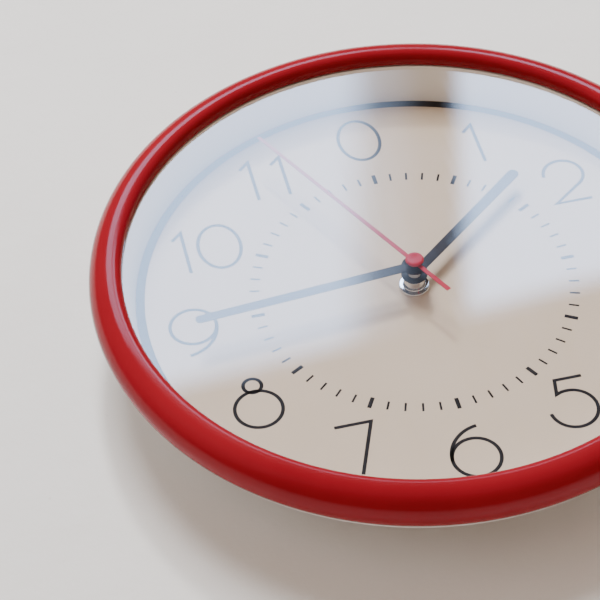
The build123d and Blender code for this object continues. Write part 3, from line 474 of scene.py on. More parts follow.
@dataclass(frozen=True)
class Plaster:
    """Painted plaster wall: trowel waves, pits and faint specks; nothing on its rear side."""

    name: str = "plaster"
    colour: Colour = (0.86, 0.855, 0.85)
    deep: Colour = (0.81, 0.80, 0.79)

    def make(self) -> bpy.types.Material:
        """Builds the material, transparent from behind so that the clock's back can be seen."""
        graph = Graph(self.name)
        wide = graph.spread(graph.noise(4.0, 4.0), 0.3, 0.75, 0.0, 1.0)
        colour = graph.blend(wide, self.colour, self.deep)
        specks = graph.spread(graph.noise(160.0, 2.0), 0.73, 0.8, 0.0, 0.35)
        colour = graph.blend(specks, colour, (0.60, 0.57, 0.54))
        normal = graph.bump(graph.noise(28.0, 6.0, 0.6), 0.0009)
        normal = graph.bump(graph.noise(420.0, 4.0, 0.6), 0.00006, normal)
        paint = graph.node("BsdfPrincipled", {"Base Color": colour, "Roughness": 0.8, "Normal": normal})
        rear = graph.node("NewGeometry").outputs["Backfacing"]
        nothing = graph.node("BsdfTransparent")
        mixed = graph.node("MixShader", {"0": rear, "1": paint.outputs[0], "2": nothing.outputs[0]})
        return graph.surface(mixed.outputs[0])


class Slot(Enum):
    """Material slots of the record."""

    RING = "red_gloss"
    LENS = "clear_lens"
    WHITE = "white_plastic"
    DIAL = "dial_card"
    BACK = "back_plastic"
    HAND = "hand_black"
    NEEDLE = "hand_red"
    STEEL = "steel"
    BUSH = "bush_brass"
    NUT = "nut_chrome"
    SHELL = "movement_black"
    GEAR = "gear_plastic"
    RUBBER = "rubber_black"
    MAGNET = "magnet"
    COPPER = "copper"
    BOARD = "board_green"
    RESIN = "resin_black"
    SPRING = "spring_nickel"
    CELL = "cell_wrap"


class Palette:
    """Every finish of the clock, built once."""

    def __init__(self, bench: Bench) -> None:
        """Builds the materials.

        Args:
            bench: gives the hand axis for turned metal.
        """
        axis = tuple(float(value) for value in bench.axis)
        makers = {
            Slot.RING: Finish("red_ring", (0.28, 0.010, 0.018), (0.245, 0.008, 0.015), rough=(0.15, 0.24),
                              tone_scale=14.0, grain_scale=3000.0, grain_depth=0.0000012, wave_scale=90.0,
                              wave_depth=0.000010, mark_scale=180.0, mark_share=0.1, specular=0.14),
            Slot.LENS: ClearLens(),
            Slot.WHITE: Finish("white_ring", (0.92, 0.92, 0.92), (0.88, 0.88, 0.88), rough=(0.28, 0.42),
                               grain_depth=0.000004),
            Slot.DIAL: Finish("dial_card", (0.71, 0.59, 0.47), (0.68, 0.56, 0.44), rough=(0.5, 0.65),
                              tone_scale=18.0, grain_scale=5200.0, grain_depth=0.000012),
            Slot.BACK: Finish("back_plastic", (0.74, 0.74, 0.73), (0.68, 0.68, 0.67), rough=(0.38, 0.55),
                              tone_scale=22.0, grain_scale=3600.0, grain_depth=0.00003),
            Slot.HAND: Finish("hand_black", (0.014, 0.010, 0.013), (0.022, 0.017, 0.021), rough=(0.34, 0.46),
                              grain_scale=6000.0, grain_depth=0.000004, specular=0.25),
            Slot.NEEDLE: Finish("hand_red", (0.50, 0.006, 0.035), (0.43, 0.004, 0.028), rough=(0.3, 0.42),
                                grain_scale=6000.0, grain_depth=0.000002, specular=0.25),
            Slot.STEEL: TurnedMetal("turned_steel", (0.86, 0.85, 0.86), (0.72, 0.72, 0.74), axis, metal=0.35),
            Slot.BUSH: TurnedMetal("turned_brass", (0.80, 0.62, 0.30), (0.62, 0.45, 0.20), axis),
            Slot.NUT: TurnedMetal("plated_nut", (0.86, 0.86, 0.87), (0.72, 0.72, 0.74), axis, rough=(0.05, 0.16)),
            Slot.SHELL: Finish("movement_black", (0.022, 0.022, 0.024), (0.032, 0.032, 0.034),
                               rough=(0.4, 0.55), grain_scale=4200.0, grain_depth=0.00004),
            Slot.GEAR: Finish("gear_plastic", (0.78, 0.77, 0.70), (0.70, 0.69, 0.62), rough=(0.35, 0.5)),
            Slot.RUBBER: Finish("rubber_black", (0.02, 0.02, 0.02), (0.035, 0.035, 0.035), rough=(0.7, 0.85),
                                grain_depth=0.00003),
            Slot.MAGNET: Finish("magnet", (0.10, 0.10, 0.11), (0.06, 0.06, 0.065), rough=(0.4, 0.55), metal=0.8),
            Slot.COPPER: Finish("copper_wire", (0.72, 0.33, 0.16), (0.55, 0.22, 0.10), rough=(0.25, 0.4),
                                metal=1.0, wave_scale=2500.0, wave_depth=0.00002),
            Slot.BOARD: Finish("board_green", (0.03, 0.18, 0.08), (0.02, 0.12, 0.05), rough=(0.3, 0.45)),
            Slot.RESIN: Finish("resin_black", (0.012, 0.012, 0.012), (0.02, 0.02, 0.02), rough=(0.1, 0.2)),
            Slot.SPRING: Finish("spring_nickel", (0.72, 0.70, 0.66), (0.58, 0.56, 0.52), rough=(0.16, 0.32),
                                metal=1.0, grain_depth=0.000003),
            Slot.CELL: Finish("cell_wrap", (0.03, 0.09, 0.32), (0.02, 0.07, 0.26), rough=(0.2, 0.34), coat=0.4),
        }
        self.of = {slot: maker.make() for slot, maker in makers.items()}
        self.ink = Finish("dial_ink", (0.012, 0.009, 0.010), (0.018, 0.014, 0.015), rough=(0.45, 0.6),
                          grain_scale=5200.0, grain_depth=0.000008, specular=0.12).make()
        self.band = Finish("cell_band", (0.62, 0.40, 0.16), (0.54, 0.34, 0.13), rough=(0.2, 0.32), metal=0.85,
                           coat=0.4).make()
        self.zinc = Finish("screw_zinc", (0.70, 0.70, 0.67), (0.52, 0.52, 0.50), rough=(0.22, 0.38), metal=1.0,
                           tone_scale=600.0).make()

    def dress(self, piece: bpy.types.Object, slot: Slot, material: bpy.types.Material | None = None) -> None:
        """Gives a piece its material: its slot's own, or the one given."""
        piece.data.materials.clear()
        piece.data.materials.append(material or self.of[slot])


@dataclass
class Workshop:
    """What every sub-assembly needs: the frame, the bench and the palette."""

    frame: dict
    bench: Bench
    palette: Palette

    def finish(self, piece: bpy.types.Object, slot: Slot, body: str, *nodes: str,
               material: bpy.types.Material | None = None) -> bpy.types.Object:
        """Dresses a piece, lets it ride on its body and stand for CAD nodes.

        Args:
            piece: the new object.
            slot: its record slot.
            body: the CAD body it rides on.
            *nodes: CAD nodes it replaces.
            material: another material than the slot's own.

        Returns:
            The piece.
        """
        self.palette.dress(piece, slot, material)
        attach(piece, body)
        if nodes:
            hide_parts(*nodes)
        LOG.info("%s on %s, for %s", piece.name, body, nodes or "detail")
        return piece

    def reach(self, node: str) -> tuple[float, float, float]:
        """A round node's outer radius, lowest and highest bench level, in millimetres."""
        low, high = (np.array(corner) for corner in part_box(node))
        return (high[0] - low[0]) / 2 / MILLIMETRE, -high[1] / MILLIMETRE, -low[1] / MILLIMETRE


# ---- case ----------------------------------------------------------------------------------------
@dataclass
class RingCase:
    """The glossy moulded ring, the lens under its lip and the white ring inside."""

    shop: Workshop
    big_round: float = 10.4
    shoulder: float = 4.4
    rim_angle: float = 50.0
    lip_edge: float = 0.35
    lens_lap: float = 1.8
    lens_edge: float = 0.4
    skirt_gap: float = 0.3
    segments: int = 288
    reflector_slope: float = 4.0
    reflector_wall: float = 0.8
    reflector_flange: float = 1.0

    def build(self) -> None:
        """Makes the ring, the lens and the reflector."""
        outer, _, top = self.shop.reach("bezel")
        lens_radius, lens_low, lens_high = self.shop.reach("lens")
        lip = lens_radius - self.lens_lap
        self.ring(outer, top, lip, lens_high)
        self.lens(lens_radius, lens_low, lens_high)
        self.reflector(lip, lens_radius, lens_low)

    def ring(self, outer: float, top: float, lip: float, seat: float) -> None:
        """The ring's section: big round, shoulder, straight lip with a small edge, seat and skirt."""
        centre = (outer - self.big_round, top - self.big_round)
        shoulder = (centre[0], top - self.shoulder)
        rim = arc(centre, self.big_round, -self.rim_angle, 90, 56)
        crest = arc(shoulder, shoulder[0] - lip, 90, 180, 30)[1:]
        skirt = lip + self.lens_lap + self.skirt_gap
        foot = rim[0][1]
        under = soften([(lip, seat, self.lip_edge), (skirt, seat, 0.0), (skirt, foot, 0.3)], 5)
        profile = np.vstack([rim, crest, under[:-1], [[skirt, foot]]])
        mesh = Mesh(self.shop.bench).add(turned(profile, self.segments), loop_rows=True)
        self.shop.finish(mesh.piece("ring_shell", 40.0), Slot.RING, "case", "bezel")

    def lens(self, radius: float, low: float, high: float) -> None:
        """Flat disc with ground edges."""
        ground = self.lens_edge
        edge = arc((radius - ground, high - ground), ground, 90, 0, 6)
        back = arc((radius - ground, low + ground), ground, 0, -90, 6)
        profile = np.vstack([[[POLE, high]], edge, back, [[POLE, low]]])
        mesh = Mesh(self.shop.bench).add(turned(profile, self.segments), caps=True)
        self.shop.finish(mesh.piece("lens_disc"), Slot.LENS, "case", "lens")

    def reflector(self, lip: float, lens_radius: float, top: float) -> None:
        """Sloping white ring with a flange under the lens."""
        face = self.shop.bench.face
        foot = lip - self.reflector_slope
        flange = top - self.reflector_flange
        outline = soften([
            (foot, face, 0.15), (foot + self.reflector_wall, face, 0.15),
            (lip + self.reflector_wall, flange, 0.4), (lens_radius, flange, 0.2), (lens_radius, top, 0.2),
            (lip, top, 0.35)], 5)
        mesh = Mesh(self.shop.bench).add(turned(outline, self.segments), loop_rows=True)
        self.shop.finish(mesh.piece("white_ring"), Slot.WHITE, "case", "reflector_ring")


# ---- dial ----------------------------------------------------------------------------------------
def circle_path(centre: Point, radius_x: float, radius_y: float, steps: int = 72) -> np.ndarray:
    """Closed ellipse: centre plus (radius_x cos t, radius_y sin t)."""
    turn = 2 * np.pi * np.arange(steps) / steps
    return np.stack([centre[0] + radius_x * np.cos(turn), centre[1] + radius_y * np.sin(turn)], axis=1)


@dataclass
class Numerals:
    """Thin upright figures, each a few strokes about its own middle, in millimetres."""

    tall: float = 13.4
    oval: Point = (9.5, 13.5)
    bowl: float = 10.1
    small_bowl: float = 4.3

    def nought(self, x: float = 0.0) -> list[tuple[np.ndarray, bool]]:
        """One oval."""
        return [(circle_path((x, 0.0), *self.oval), True)]

    def one(self, x: float = 0.0) -> list[tuple[np.ndarray, bool]]:
        """A flag and a stem in one stroke."""
        return [(np.array([(x - 4.8, self.tall - 5.3), (x, self.tall - 0.8), (x, 0.2 - self.tall)]), False)]

    def two(self) -> list[tuple[np.ndarray, bool]]:
        """Half circle, tangent leg and base."""
        curve = arc((0.0, 4.4), 9.1, 180, -51.7, 36)
        return [(np.vstack([curve, [(-8.4, -self.tall), (8.2, -self.tall)]]), False)]

    def three(self) -> list[tuple[np.ndarray, bool]]:
        """Two open bowls."""
        upper = arc((-1.0, 7.1), 6.3, 165, -90, 30)
        lower = arc((-1.0, -6.3), 7.1, 90, -165, 34)
        return [(np.vstack([upper, lower[1:]]), False)]

    def four(self) -> list[tuple[np.ndarray, bool]]:
        """Slanted leg, bar and stem."""
        stroke = np.array([(8.2, -6.4), (-9.4, -6.4), (3.6, self.tall), (3.6, -self.tall)])
        return [(stroke, False)]

    def five(self) -> list[tuple[np.ndarray, bool]]:
        """Bar, slanted stem and bowl."""
        curve = arc((-0.1, -3.3), self.bowl, 118, -176, 44)
        return [(np.vstack([[(8.3, self.tall), (-3.4, self.tall)], curve]), False)]

    def six(self) -> list[tuple[np.ndarray, bool]]:
        """Round bowl and a wide arc that leaves it on the left."""
        sweep = arc((6.4, -3.4), 16.5, 180, 97, 24)
        return [(circle_path((0.0, -3.3), self.bowl, self.bowl), True), (sweep, False)]

    def seven(self) -> list[tuple[np.ndarray, bool]]:
        """Bar and slanted leg."""
        return [(np.array([(-7.9, self.tall), (7.8, self.tall), (-2.2, -self.tall)]), False)]

    def eight(self) -> list[tuple[np.ndarray, bool]]:
        """Small circle on a large one."""
        upper = circle_path((0.0, 9.9), self.small_bowl - 0.4, self.small_bowl - 0.4)
        return [(upper, True), (circle_path((0.0, -3.3), self.bowl, self.bowl), True)]

    def nine(self) -> list[tuple[np.ndarray, bool]]:
        """The six turned half round."""
        return [(-path, closed) for path, closed in self.six()]


@dataclass
class Dial:
    """Dial plate and its print: ring, minute ticks and figures."""

    shop: Workshop
    ring_radius: float = 120.05
    ring_width: float = 4.1
    tick_middle: float = 69.95
    tick_lengths: Point = (5.9, 4.5)
    tick_widths: Point = (1.8, 0.95)
    stroke: float = 1.6
    ink_depth: float = 0.03
    hole: float = 4.1
    places: dict[int, Point] = field(default_factory=lambda: {
        0: (-0.5, 97.6), 1: (50.3, 82.2), 2: (84.4, 47.0), 3: (96.9, -0.4), 4: (82.6, -48.6),
        5: (45.9, -81.3), 6: (-0.4, -96.4), 7: (-45.2, -83.7), 8: (-81.0, -49.0), 9: (-98.5, -2.8),
        10: (-83.0, 45.7), 11: (-49.2, 83.5)})

    def build(self) -> None:
        """Makes the plate and the print."""
        radius, low, high = self.shop.reach("dial")
        outline = soften([(self.hole, low, 0.0), (radius, low, 0.1), (radius, high, 0.15),
                          (self.hole, high, 0.1)], 3)
        plate = Mesh(self.shop.bench).add(turned(outline, 192), loop_rows=True)
        self.shop.finish(plate.piece("dial_plate"), Slot.DIAL, "case", "dial")
        mesh = Mesh(self.shop.bench)
        self.draw_ring(mesh, high)
        self.draw_ticks(mesh, high)
        self.draw_figures(mesh, high)
        self.shop.finish(mesh.piece("dial_print"), Slot.DIAL, "case", material=self.shop.palette.ink)

    def draw(self, mesh: Mesh, path: np.ndarray, width: float, level: float, closed: bool) -> None:
        """Adds one stroke of ink on the dial's face."""
        grid = ribbon(path, width, level - self.ink_depth, level + self.ink_depth, closed)
        mesh.add(grid, loop_rows=closed, caps=not closed)

    def draw_ring(self, mesh: Mesh, level: float) -> None:
        """The dark ring near the dial's edge."""
        self.draw(mesh, circle_path((0.0, 0.0), self.ring_radius, self.ring_radius, 288), self.ring_width,
                  level, True)

    def draw_ticks(self, mesh: Mesh, level: float) -> None:
        """Sixty radial ticks, every fifth longer and wider."""
        for minute in range(60):
            turn = math.tau * minute / 60
            outward = np.array([math.sin(turn), math.cos(turn)])
            kind = 0 if minute % 5 == 0 else 1
            ends = self.tick_middle + self.tick_lengths[kind] * np.array([-0.5, 0.5])
            self.draw(mesh, ends[:, None] * outward, self.tick_widths[kind], level, False)

    def draw_figures(self, mesh: Mesh, level: float) -> None:
        """The twelve figures at their places."""
        figures = Numerals()
        strokes = {
            0: figures.nought(), 1: figures.one(2.35), 2: figures.two(), 3: figures.three(),
            4: figures.four(), 5: figures.five(), 6: figures.six(), 7: figures.seven(), 8: figures.eight(),
            9: figures.nine(), 10: figures.one(-10.1) + figures.nought(5.3),
            11: figures.one(-4.9) + figures.one(9.8)}
        for hour, place in self.places.items():
            for path, closed in strokes[hour]:
                self.draw(mesh, path + np.array(place), self.stroke, level, closed)


# ---- hands ---------------------------------------------------------------------------------------
@dataclass(frozen=True)
class HandShape:
    """Outline of a hand that points to 12: bar with a round end, hub disc and perhaps a tail."""

    node: str
    body: str
    slot: Slot
    disc: float
    root: float
    tip: float
    clockwise: float
    length: float
    edge: float
    tail: tuple[float, float, float] | None = None

    def outline(self) -> np.ndarray:
        """Closed outline, starting where the bar's right side leaves the hub disc.

        The bar's sides run from half the root width at the axis to half the tip width; the end is a half circle;
        the disc is the arc between the points where the sides cross it.
        """
        half_tip, half_root = self.tip / 2, self.root / 2
        shoulder = self.length - half_tip
        gap = math.degrees(math.asin(half_root / self.disc))
        end = arc((0.0, shoulder), half_tip, 0, 180, 16)
        if self.tail is None:
            hub = arc((0.0, 0.0), self.disc, 90 + gap, 450 - gap, 64)
            return np.vstack([end, hub])
        tail_root, tail_end, tail_length = self.tail
        low_gap = math.degrees(math.asin(tail_root / 2 / self.disc))
        left = arc((0.0, 0.0), self.disc, 90 + gap, 270 - low_gap, 28)
        right = arc((0.0, 0.0), self.disc, 270 + low_gap, 450 - gap, 28)
        foot = np.array([(-tail_end / 2, -tail_length), (tail_end / 2, -tail_length)])
        return np.vstack([end, left, foot, right])


@dataclass
class Hands:
    """Hour and minute bars, seconds needle and the bright parts of the hub."""

    shop: Workshop
    shapes: tuple[HandShape, ...] = (
        HandShape("hour_hand", "hours", Slot.HAND, 5.6, 4.2, 4.9, 50.1, 80.2, 0.14),
        HandShape("minute_hand", "minutes", Slot.HAND, 5.5, 4.4, 4.0, 265.3, 98.6, 0.14),
        HandShape("second_hand", "seconds", Slot.NEEDLE, 3.0, 1.8, 1.3, 333.1, 106.8, 0.08, (1.7, 2.0, 22.0)),
    )
    sleeves: tuple[tuple[str, str, Slot, float], ...] = (
        ("hour_collet", "hours", Slot.STEEL, 2.5), ("minute_collet", "minutes", Slot.STEEL, 1.6),
        ("hand_nut", "minutes", Slot.BUSH, 1.6), ("second_socket", "seconds", Slot.STEEL, 0.45),
        ("dial_washer", "case", Slot.STEEL, 4.1))
    sleeve_edge: float = 0.2
    nut_bore: float = 4.05
    nut_collar: float = 4.8
    nut_flange: float = 1.1
    cap_rim: float = 0.9
    cap_bore: float = 1.1
    cap_socket: float = 1.2

    def build(self) -> None:
        """Makes the three hands and the hub's turned pieces."""
        for shape in self.shapes:
            self.hand(shape)
        self.nut()
        self.cap()
        for sleeve in self.sleeves:
            self.sleeve(*sleeve)

    def hand(self, shape: HandShape) -> None:
        """One stamped hand with rounded rims, turned clockwise from 12."""
        _, low, high = self.shop.reach(shape.node)
        turn = -math.radians(shape.clockwise)
        spin = np.array([[math.cos(turn), math.sin(turn)], [-math.sin(turn), math.cos(turn)]])
        grid = slab(shape.outline() @ spin, low, high, shape.edge)
        piece = Mesh(self.shop.bench).add(grid, caps=True).piece(shape.node + "_bar", 50.0)
        self.shop.finish(piece, shape.slot, shape.body, shape.node)

    def sleeve(self, node: str, body: str, slot: Slot, bore: float) -> None:
        """Short turned tube with broken edges."""
        radius, low, high = self.shop.reach(node)
        edge = min(self.sleeve_edge, (high - low) / 4, (radius - bore) / 3)
        outline = soften([(bore, low, edge / 2), (radius, low, edge), (radius, high, edge), (bore, high, edge / 2)])
        piece = Mesh(self.shop.bench).add(turned(outline, 72), loop_rows=True).piece(node + "_turned")
        self.shop.finish(piece, slot, body, node)

    def nut(self) -> None:
        """Round nut: broad rounded flange, straight collar, chamfered mouth."""
        radius, low, high = self.shop.reach("dial_nut")
        bore, collar, flange = self.nut_bore, self.nut_collar, low + self.nut_flange
        outline = soften([
            (bore, low, 0.0), (radius, low, 0.15), (radius, flange, 0.85), (collar + 0.15, flange, 0.2),
            (collar, flange + 0.4, 0.3), (collar, high, 0.45), (bore + 0.3, high, 0.15),
            (bore, high - 0.35, 0.0)], 7)
        piece = Mesh(self.shop.bench).add(turned(outline, 96), loop_rows=True).piece("dial_nut_turned")
        self.shop.finish(piece, Slot.NUT, "case", "dial_nut")

    def cap(self) -> None:
        """Domed cap with a shallow dimple."""
        radius, low, high = self.shop.reach("second_cap")
        dimple = arc((0.0, high + 20.7), 20.85, -89.9, -83.2, 10)
        rim = arc((radius - self.cap_rim, high - self.cap_rim), self.cap_rim, 88, 0, 12)
        bore, roof = self.cap_bore, low + self.cap_socket
        foot = soften([(radius, low, 0.12), (bore, low, 0.0), (bore, roof, 0.1), (POLE, roof, 0.0)], 4)
        profile = np.vstack([dimple, rim, foot[:-1], [[2 * POLE, roof]]])
        piece = Mesh(self.shop.bench).add(turned(profile, 96), caps=True).piece("seconds_cap", 30.0)
        self.shop.finish(piece, Slot.NEEDLE, "seconds", "second_cap")


# ---- back ----------------------------------------------------------------------------------------
def radial(outline: np.ndarray, centre: Point, angles: np.ndarray) -> np.ndarray:
    """Star-shaped outline sampled where rays from a centre cross it.

    Args:
        outline: array (n, 2), closed, seen whole from the centre.
        centre: start of the rays.
        angles: ray angles in radians, rising from -pi to pi.

    Returns:
        Array (len(angles), 2).
    """
    share = np.linspace(0, 1, 24, endpoint=False)[None, :, None]
    dense = (outline[:, None, :] * (1 - share) + np.roll(outline, -1, axis=0)[:, None, :] * share).reshape(-1, 2)
    away = dense - np.array(centre)
    turn, far = np.arctan2(away[:, 1], away[:, 0]), np.hypot(away[:, 0], away[:, 1])
    order = np.argsort(turn)
    reach = np.interp(angles, turn[order], far[order], period=2 * np.pi)
    return np.array(centre) + reach[:, None] * np.stack([np.cos(angles), np.sin(angles)], axis=1)


def bar(x_low: float, x_high: float, y_low: float, y_high: float, low: float, high: float, edge: float,
        turn: float = 0.0) -> np.ndarray:
    """Grid of a flat bar with rounded rims, turned about the hand axis by an angle in degrees."""
    corner = min(edge, 0.4 * (y_high - y_low), 0.4 * (x_high - x_low))
    outline = rectangle((x_low, x_high), (y_low, y_high), corner, 3)
    angle = math.radians(turn)
    spin = np.array([[math.cos(angle), math.sin(angle)], [-math.sin(angle), math.cos(angle)]])
    return slab(outline @ spin, low, high, edge)


@dataclass
class RearCase:
    """Moulded back: dish, rear hoop, ribs, keyhole tower and ejector marks."""

    shop: Workshop
    flange: float = 2.0
    spigot: float = 1.4
    plate: float = 1.8
    dish_wall: float = 2.0
    draft: float = 0.8
    hoop_share: float = 0.787
    rib: tuple[float, float] = (1.6, 3.0)
    rib_count: int = 12
    rib_ring: float = 46.0
    frame_half: float = 28.4
    tower_half: Point = (13.5, 16.0)
    tower_gap: float = 6.0
    tower_wall: float = 2.0
    floor: float = 2.4
    hole: float = 4.5
    slot_half: float = 2.3
    slot_rise: float = 10.0
    hole_drop: float = 4.0
    bush_hole: float = 4.1
    lens_inset: float = 0.6
    fillet: float = 1.2
    rib_edge: float = 0.35
    mark_rings: tuple[tuple[float, int, float], ...] = ((76.0, 12, 15.0), (118.0, 8, 22.5))

    def build(self) -> None:
        """Makes the moulding as one piece."""
        case_radius, _, self.top = self.shop.reach("rear_case")
        self.plate_front = self.shop.reach("dial")[1]
        self.plate_back = self.plate_front - self.plate
        self.hoop_out = self.hoop_share * self.shop.reach("bezel")[0]
        self.root = self.plate_back + 0.2
        mesh = Mesh(self.shop.bench)
        self.dish(mesh, case_radius)
        self.hoop(mesh)
        self.ribs(mesh)
        self.tower(mesh)
        self.marks(mesh)
        self.shop.finish(mesh.piece("rear_moulding", 30.0), Slot.BACK, "case", "rear_case")

    def dish(self, mesh: Mesh, case_radius: float) -> None:
        """Plate, drafted wall, flange under the ring and spigot."""
        lens_radius = self.shop.reach("lens")[0]
        wall_out = lens_radius - self.lens_inset
        wall_in = wall_out - self.dish_wall
        shelf = self.top - self.spigot
        outline = soften([
            (self.bush_hole, self.plate_back, 0.0), (wall_out - self.draft, self.plate_back, 1.4),
            (wall_out, shelf - self.flange, 0.8), (case_radius, shelf - self.flange, 0.6),
            (case_radius, shelf, 0.3), (lens_radius + 0.1, shelf, 0.0), (lens_radius + 0.1, self.top, 0.25),
            (wall_in + 0.4, self.top, 0.25), (wall_in, shelf, 0.3), (wall_in, self.plate_front, 0.4),
            (self.bush_hole, self.plate_front, 0.0)], 5)
        mesh.add(turned(outline, 240), loop_rows=True)

    def hoop(self, mesh: Mesh) -> None:
        """Drafted hoop that stands on the wall, with a fillet at its root on both sides."""
        inner, foot, fillet = self.hoop_out - self.dish_wall, self.draft, self.fillet
        bend = self.root - 0.75 * fillet
        outline = soften([
            (inner - foot, 0.0, 0.6), (self.hoop_out - foot, 0.0, 0.6), (self.hoop_out, bend, fillet),
            (self.hoop_out + fillet, self.root, 0.0), (inner - fillet, self.root, 0.0), (inner, bend, fillet)], 5)
        mesh.add(turned(outline, 240), loop_rows=True)

    def ribs(self, mesh: Mesh) -> None:
        """Radial ribs, their ring and the square frame round the movement."""
        (thick, tall), edge = self.rib, self.rib_edge
        low = self.plate_back - tall
        for number in range(self.rib_count):
            mesh.add(bar(self.rib_ring - thick / 2, self.hoop_out - 1, -thick / 2, thick / 2, low, self.root,
                         edge, 360 * number / self.rib_count), caps=True)
        ring = soften([(self.rib_ring - thick, low, edge), (self.rib_ring, low, edge),
                       (self.rib_ring, self.root, 0.0), (self.rib_ring - thick, self.root, 0.0)], 4)
        mesh.add(turned(ring, 144), loop_rows=True)
        inner, outer = self.frame_half, self.frame_half + thick
        rings = [(outer, self.root), (outer, low + edge), (outer - edge / 3, low + edge / 3), (outer - edge, low),
                 (inner + edge, low), (inner + edge / 3, low + edge / 3), (inner, low + edge), (inner, self.root)]
        mesh.add(np.stack([at_level(rectangle((-half, half), (-half, half), 0.8), level)
                           for half, level in rings]), loop_rows=True)

    def tower(self, mesh: Mesh) -> None:
        """Hollow box to the wall plane; its rear wall has the keyhole.

        Rings round the hole's centre go up the outside, over the rear face to the keyhole, through it and up
        the inside; the keyhole's reach along a ray is the larger of the circle's, the slot's and the slot end's.
        """
        middle = self.hoop_out - self.dish_wall - self.draft - self.tower_gap - self.tower_half[1]
        centre = (0.0, middle - self.hole_drop)
        angles = np.linspace(-np.pi, np.pi, 240, endpoint=False)
        half_x, half_y = self.tower_half

        def box(inset: float, level: float, corner: float) -> np.ndarray:
            """Ring of the tower's rectangle, shrunk by an inset."""
            outline = rectangle((-half_x + inset, half_x - inset),
                                (middle - half_y + inset, middle + half_y - inset), corner, 8)
            return at_level(radial(outline, centre, angles), level)

        def keyhole(grown: float, level: float) -> np.ndarray:
            """Ring of the keyhole, grown by an amount."""
            circle, half = self.hole + grown, self.slot_half + grown
            side = half / np.maximum(np.abs(np.cos(angles)), 1e-9)
            along = np.abs(side * np.sin(angles))
            rising = np.sin(angles) > 0
            across = self.slot_rise * np.cos(angles)
            end = self.slot_rise * np.sin(angles) + np.sqrt(np.maximum(half ** 2 - across ** 2, 0))
            slot = np.where(along < self.slot_rise, side, end)
            reach = np.maximum(circle, np.where(rising, slot, 0.0))
            return at_level(np.array(centre) + reach[:, None] * np.stack([np.cos(angles), np.sin(angles)], axis=1),
                            level)

        wall, floor = self.tower_wall, self.floor
        rings = [box(0.0, self.root, 1.0), box(0.0, 0.5, 1.0), box(0.15, 0.15, 1.0), box(0.5, 0.0, 1.0),
                 keyhole(0.3, 0.0), keyhole(0.0, 0.3), keyhole(0.0, floor - 0.2), keyhole(0.2, floor),
                 box(wall + 0.3, floor, 0.6), box(wall, floor + 0.3, 0.6), box(wall, self.root, 0.6)]
        mesh.add(np.stack(rings), loop_rows=True)

    def marks(self, mesh: Mesh) -> None:
        """Faint round ejector marks on the plate and the flange."""
        level = self.plate_back
        mark = np.array([(3.2, level + 0.05), (3.35, level - 0.06), (3.6, level - 0.06), (3.75, level + 0.05)])
        for radius, count, first in self.mark_rings:
            for number in range(count):
                turn = math.radians(first + 360 * number / count)
                spot = (radius * math.cos(turn), radius * math.sin(turn))
                mesh.add(turned(mark, 36, spot), loop_rows=True)


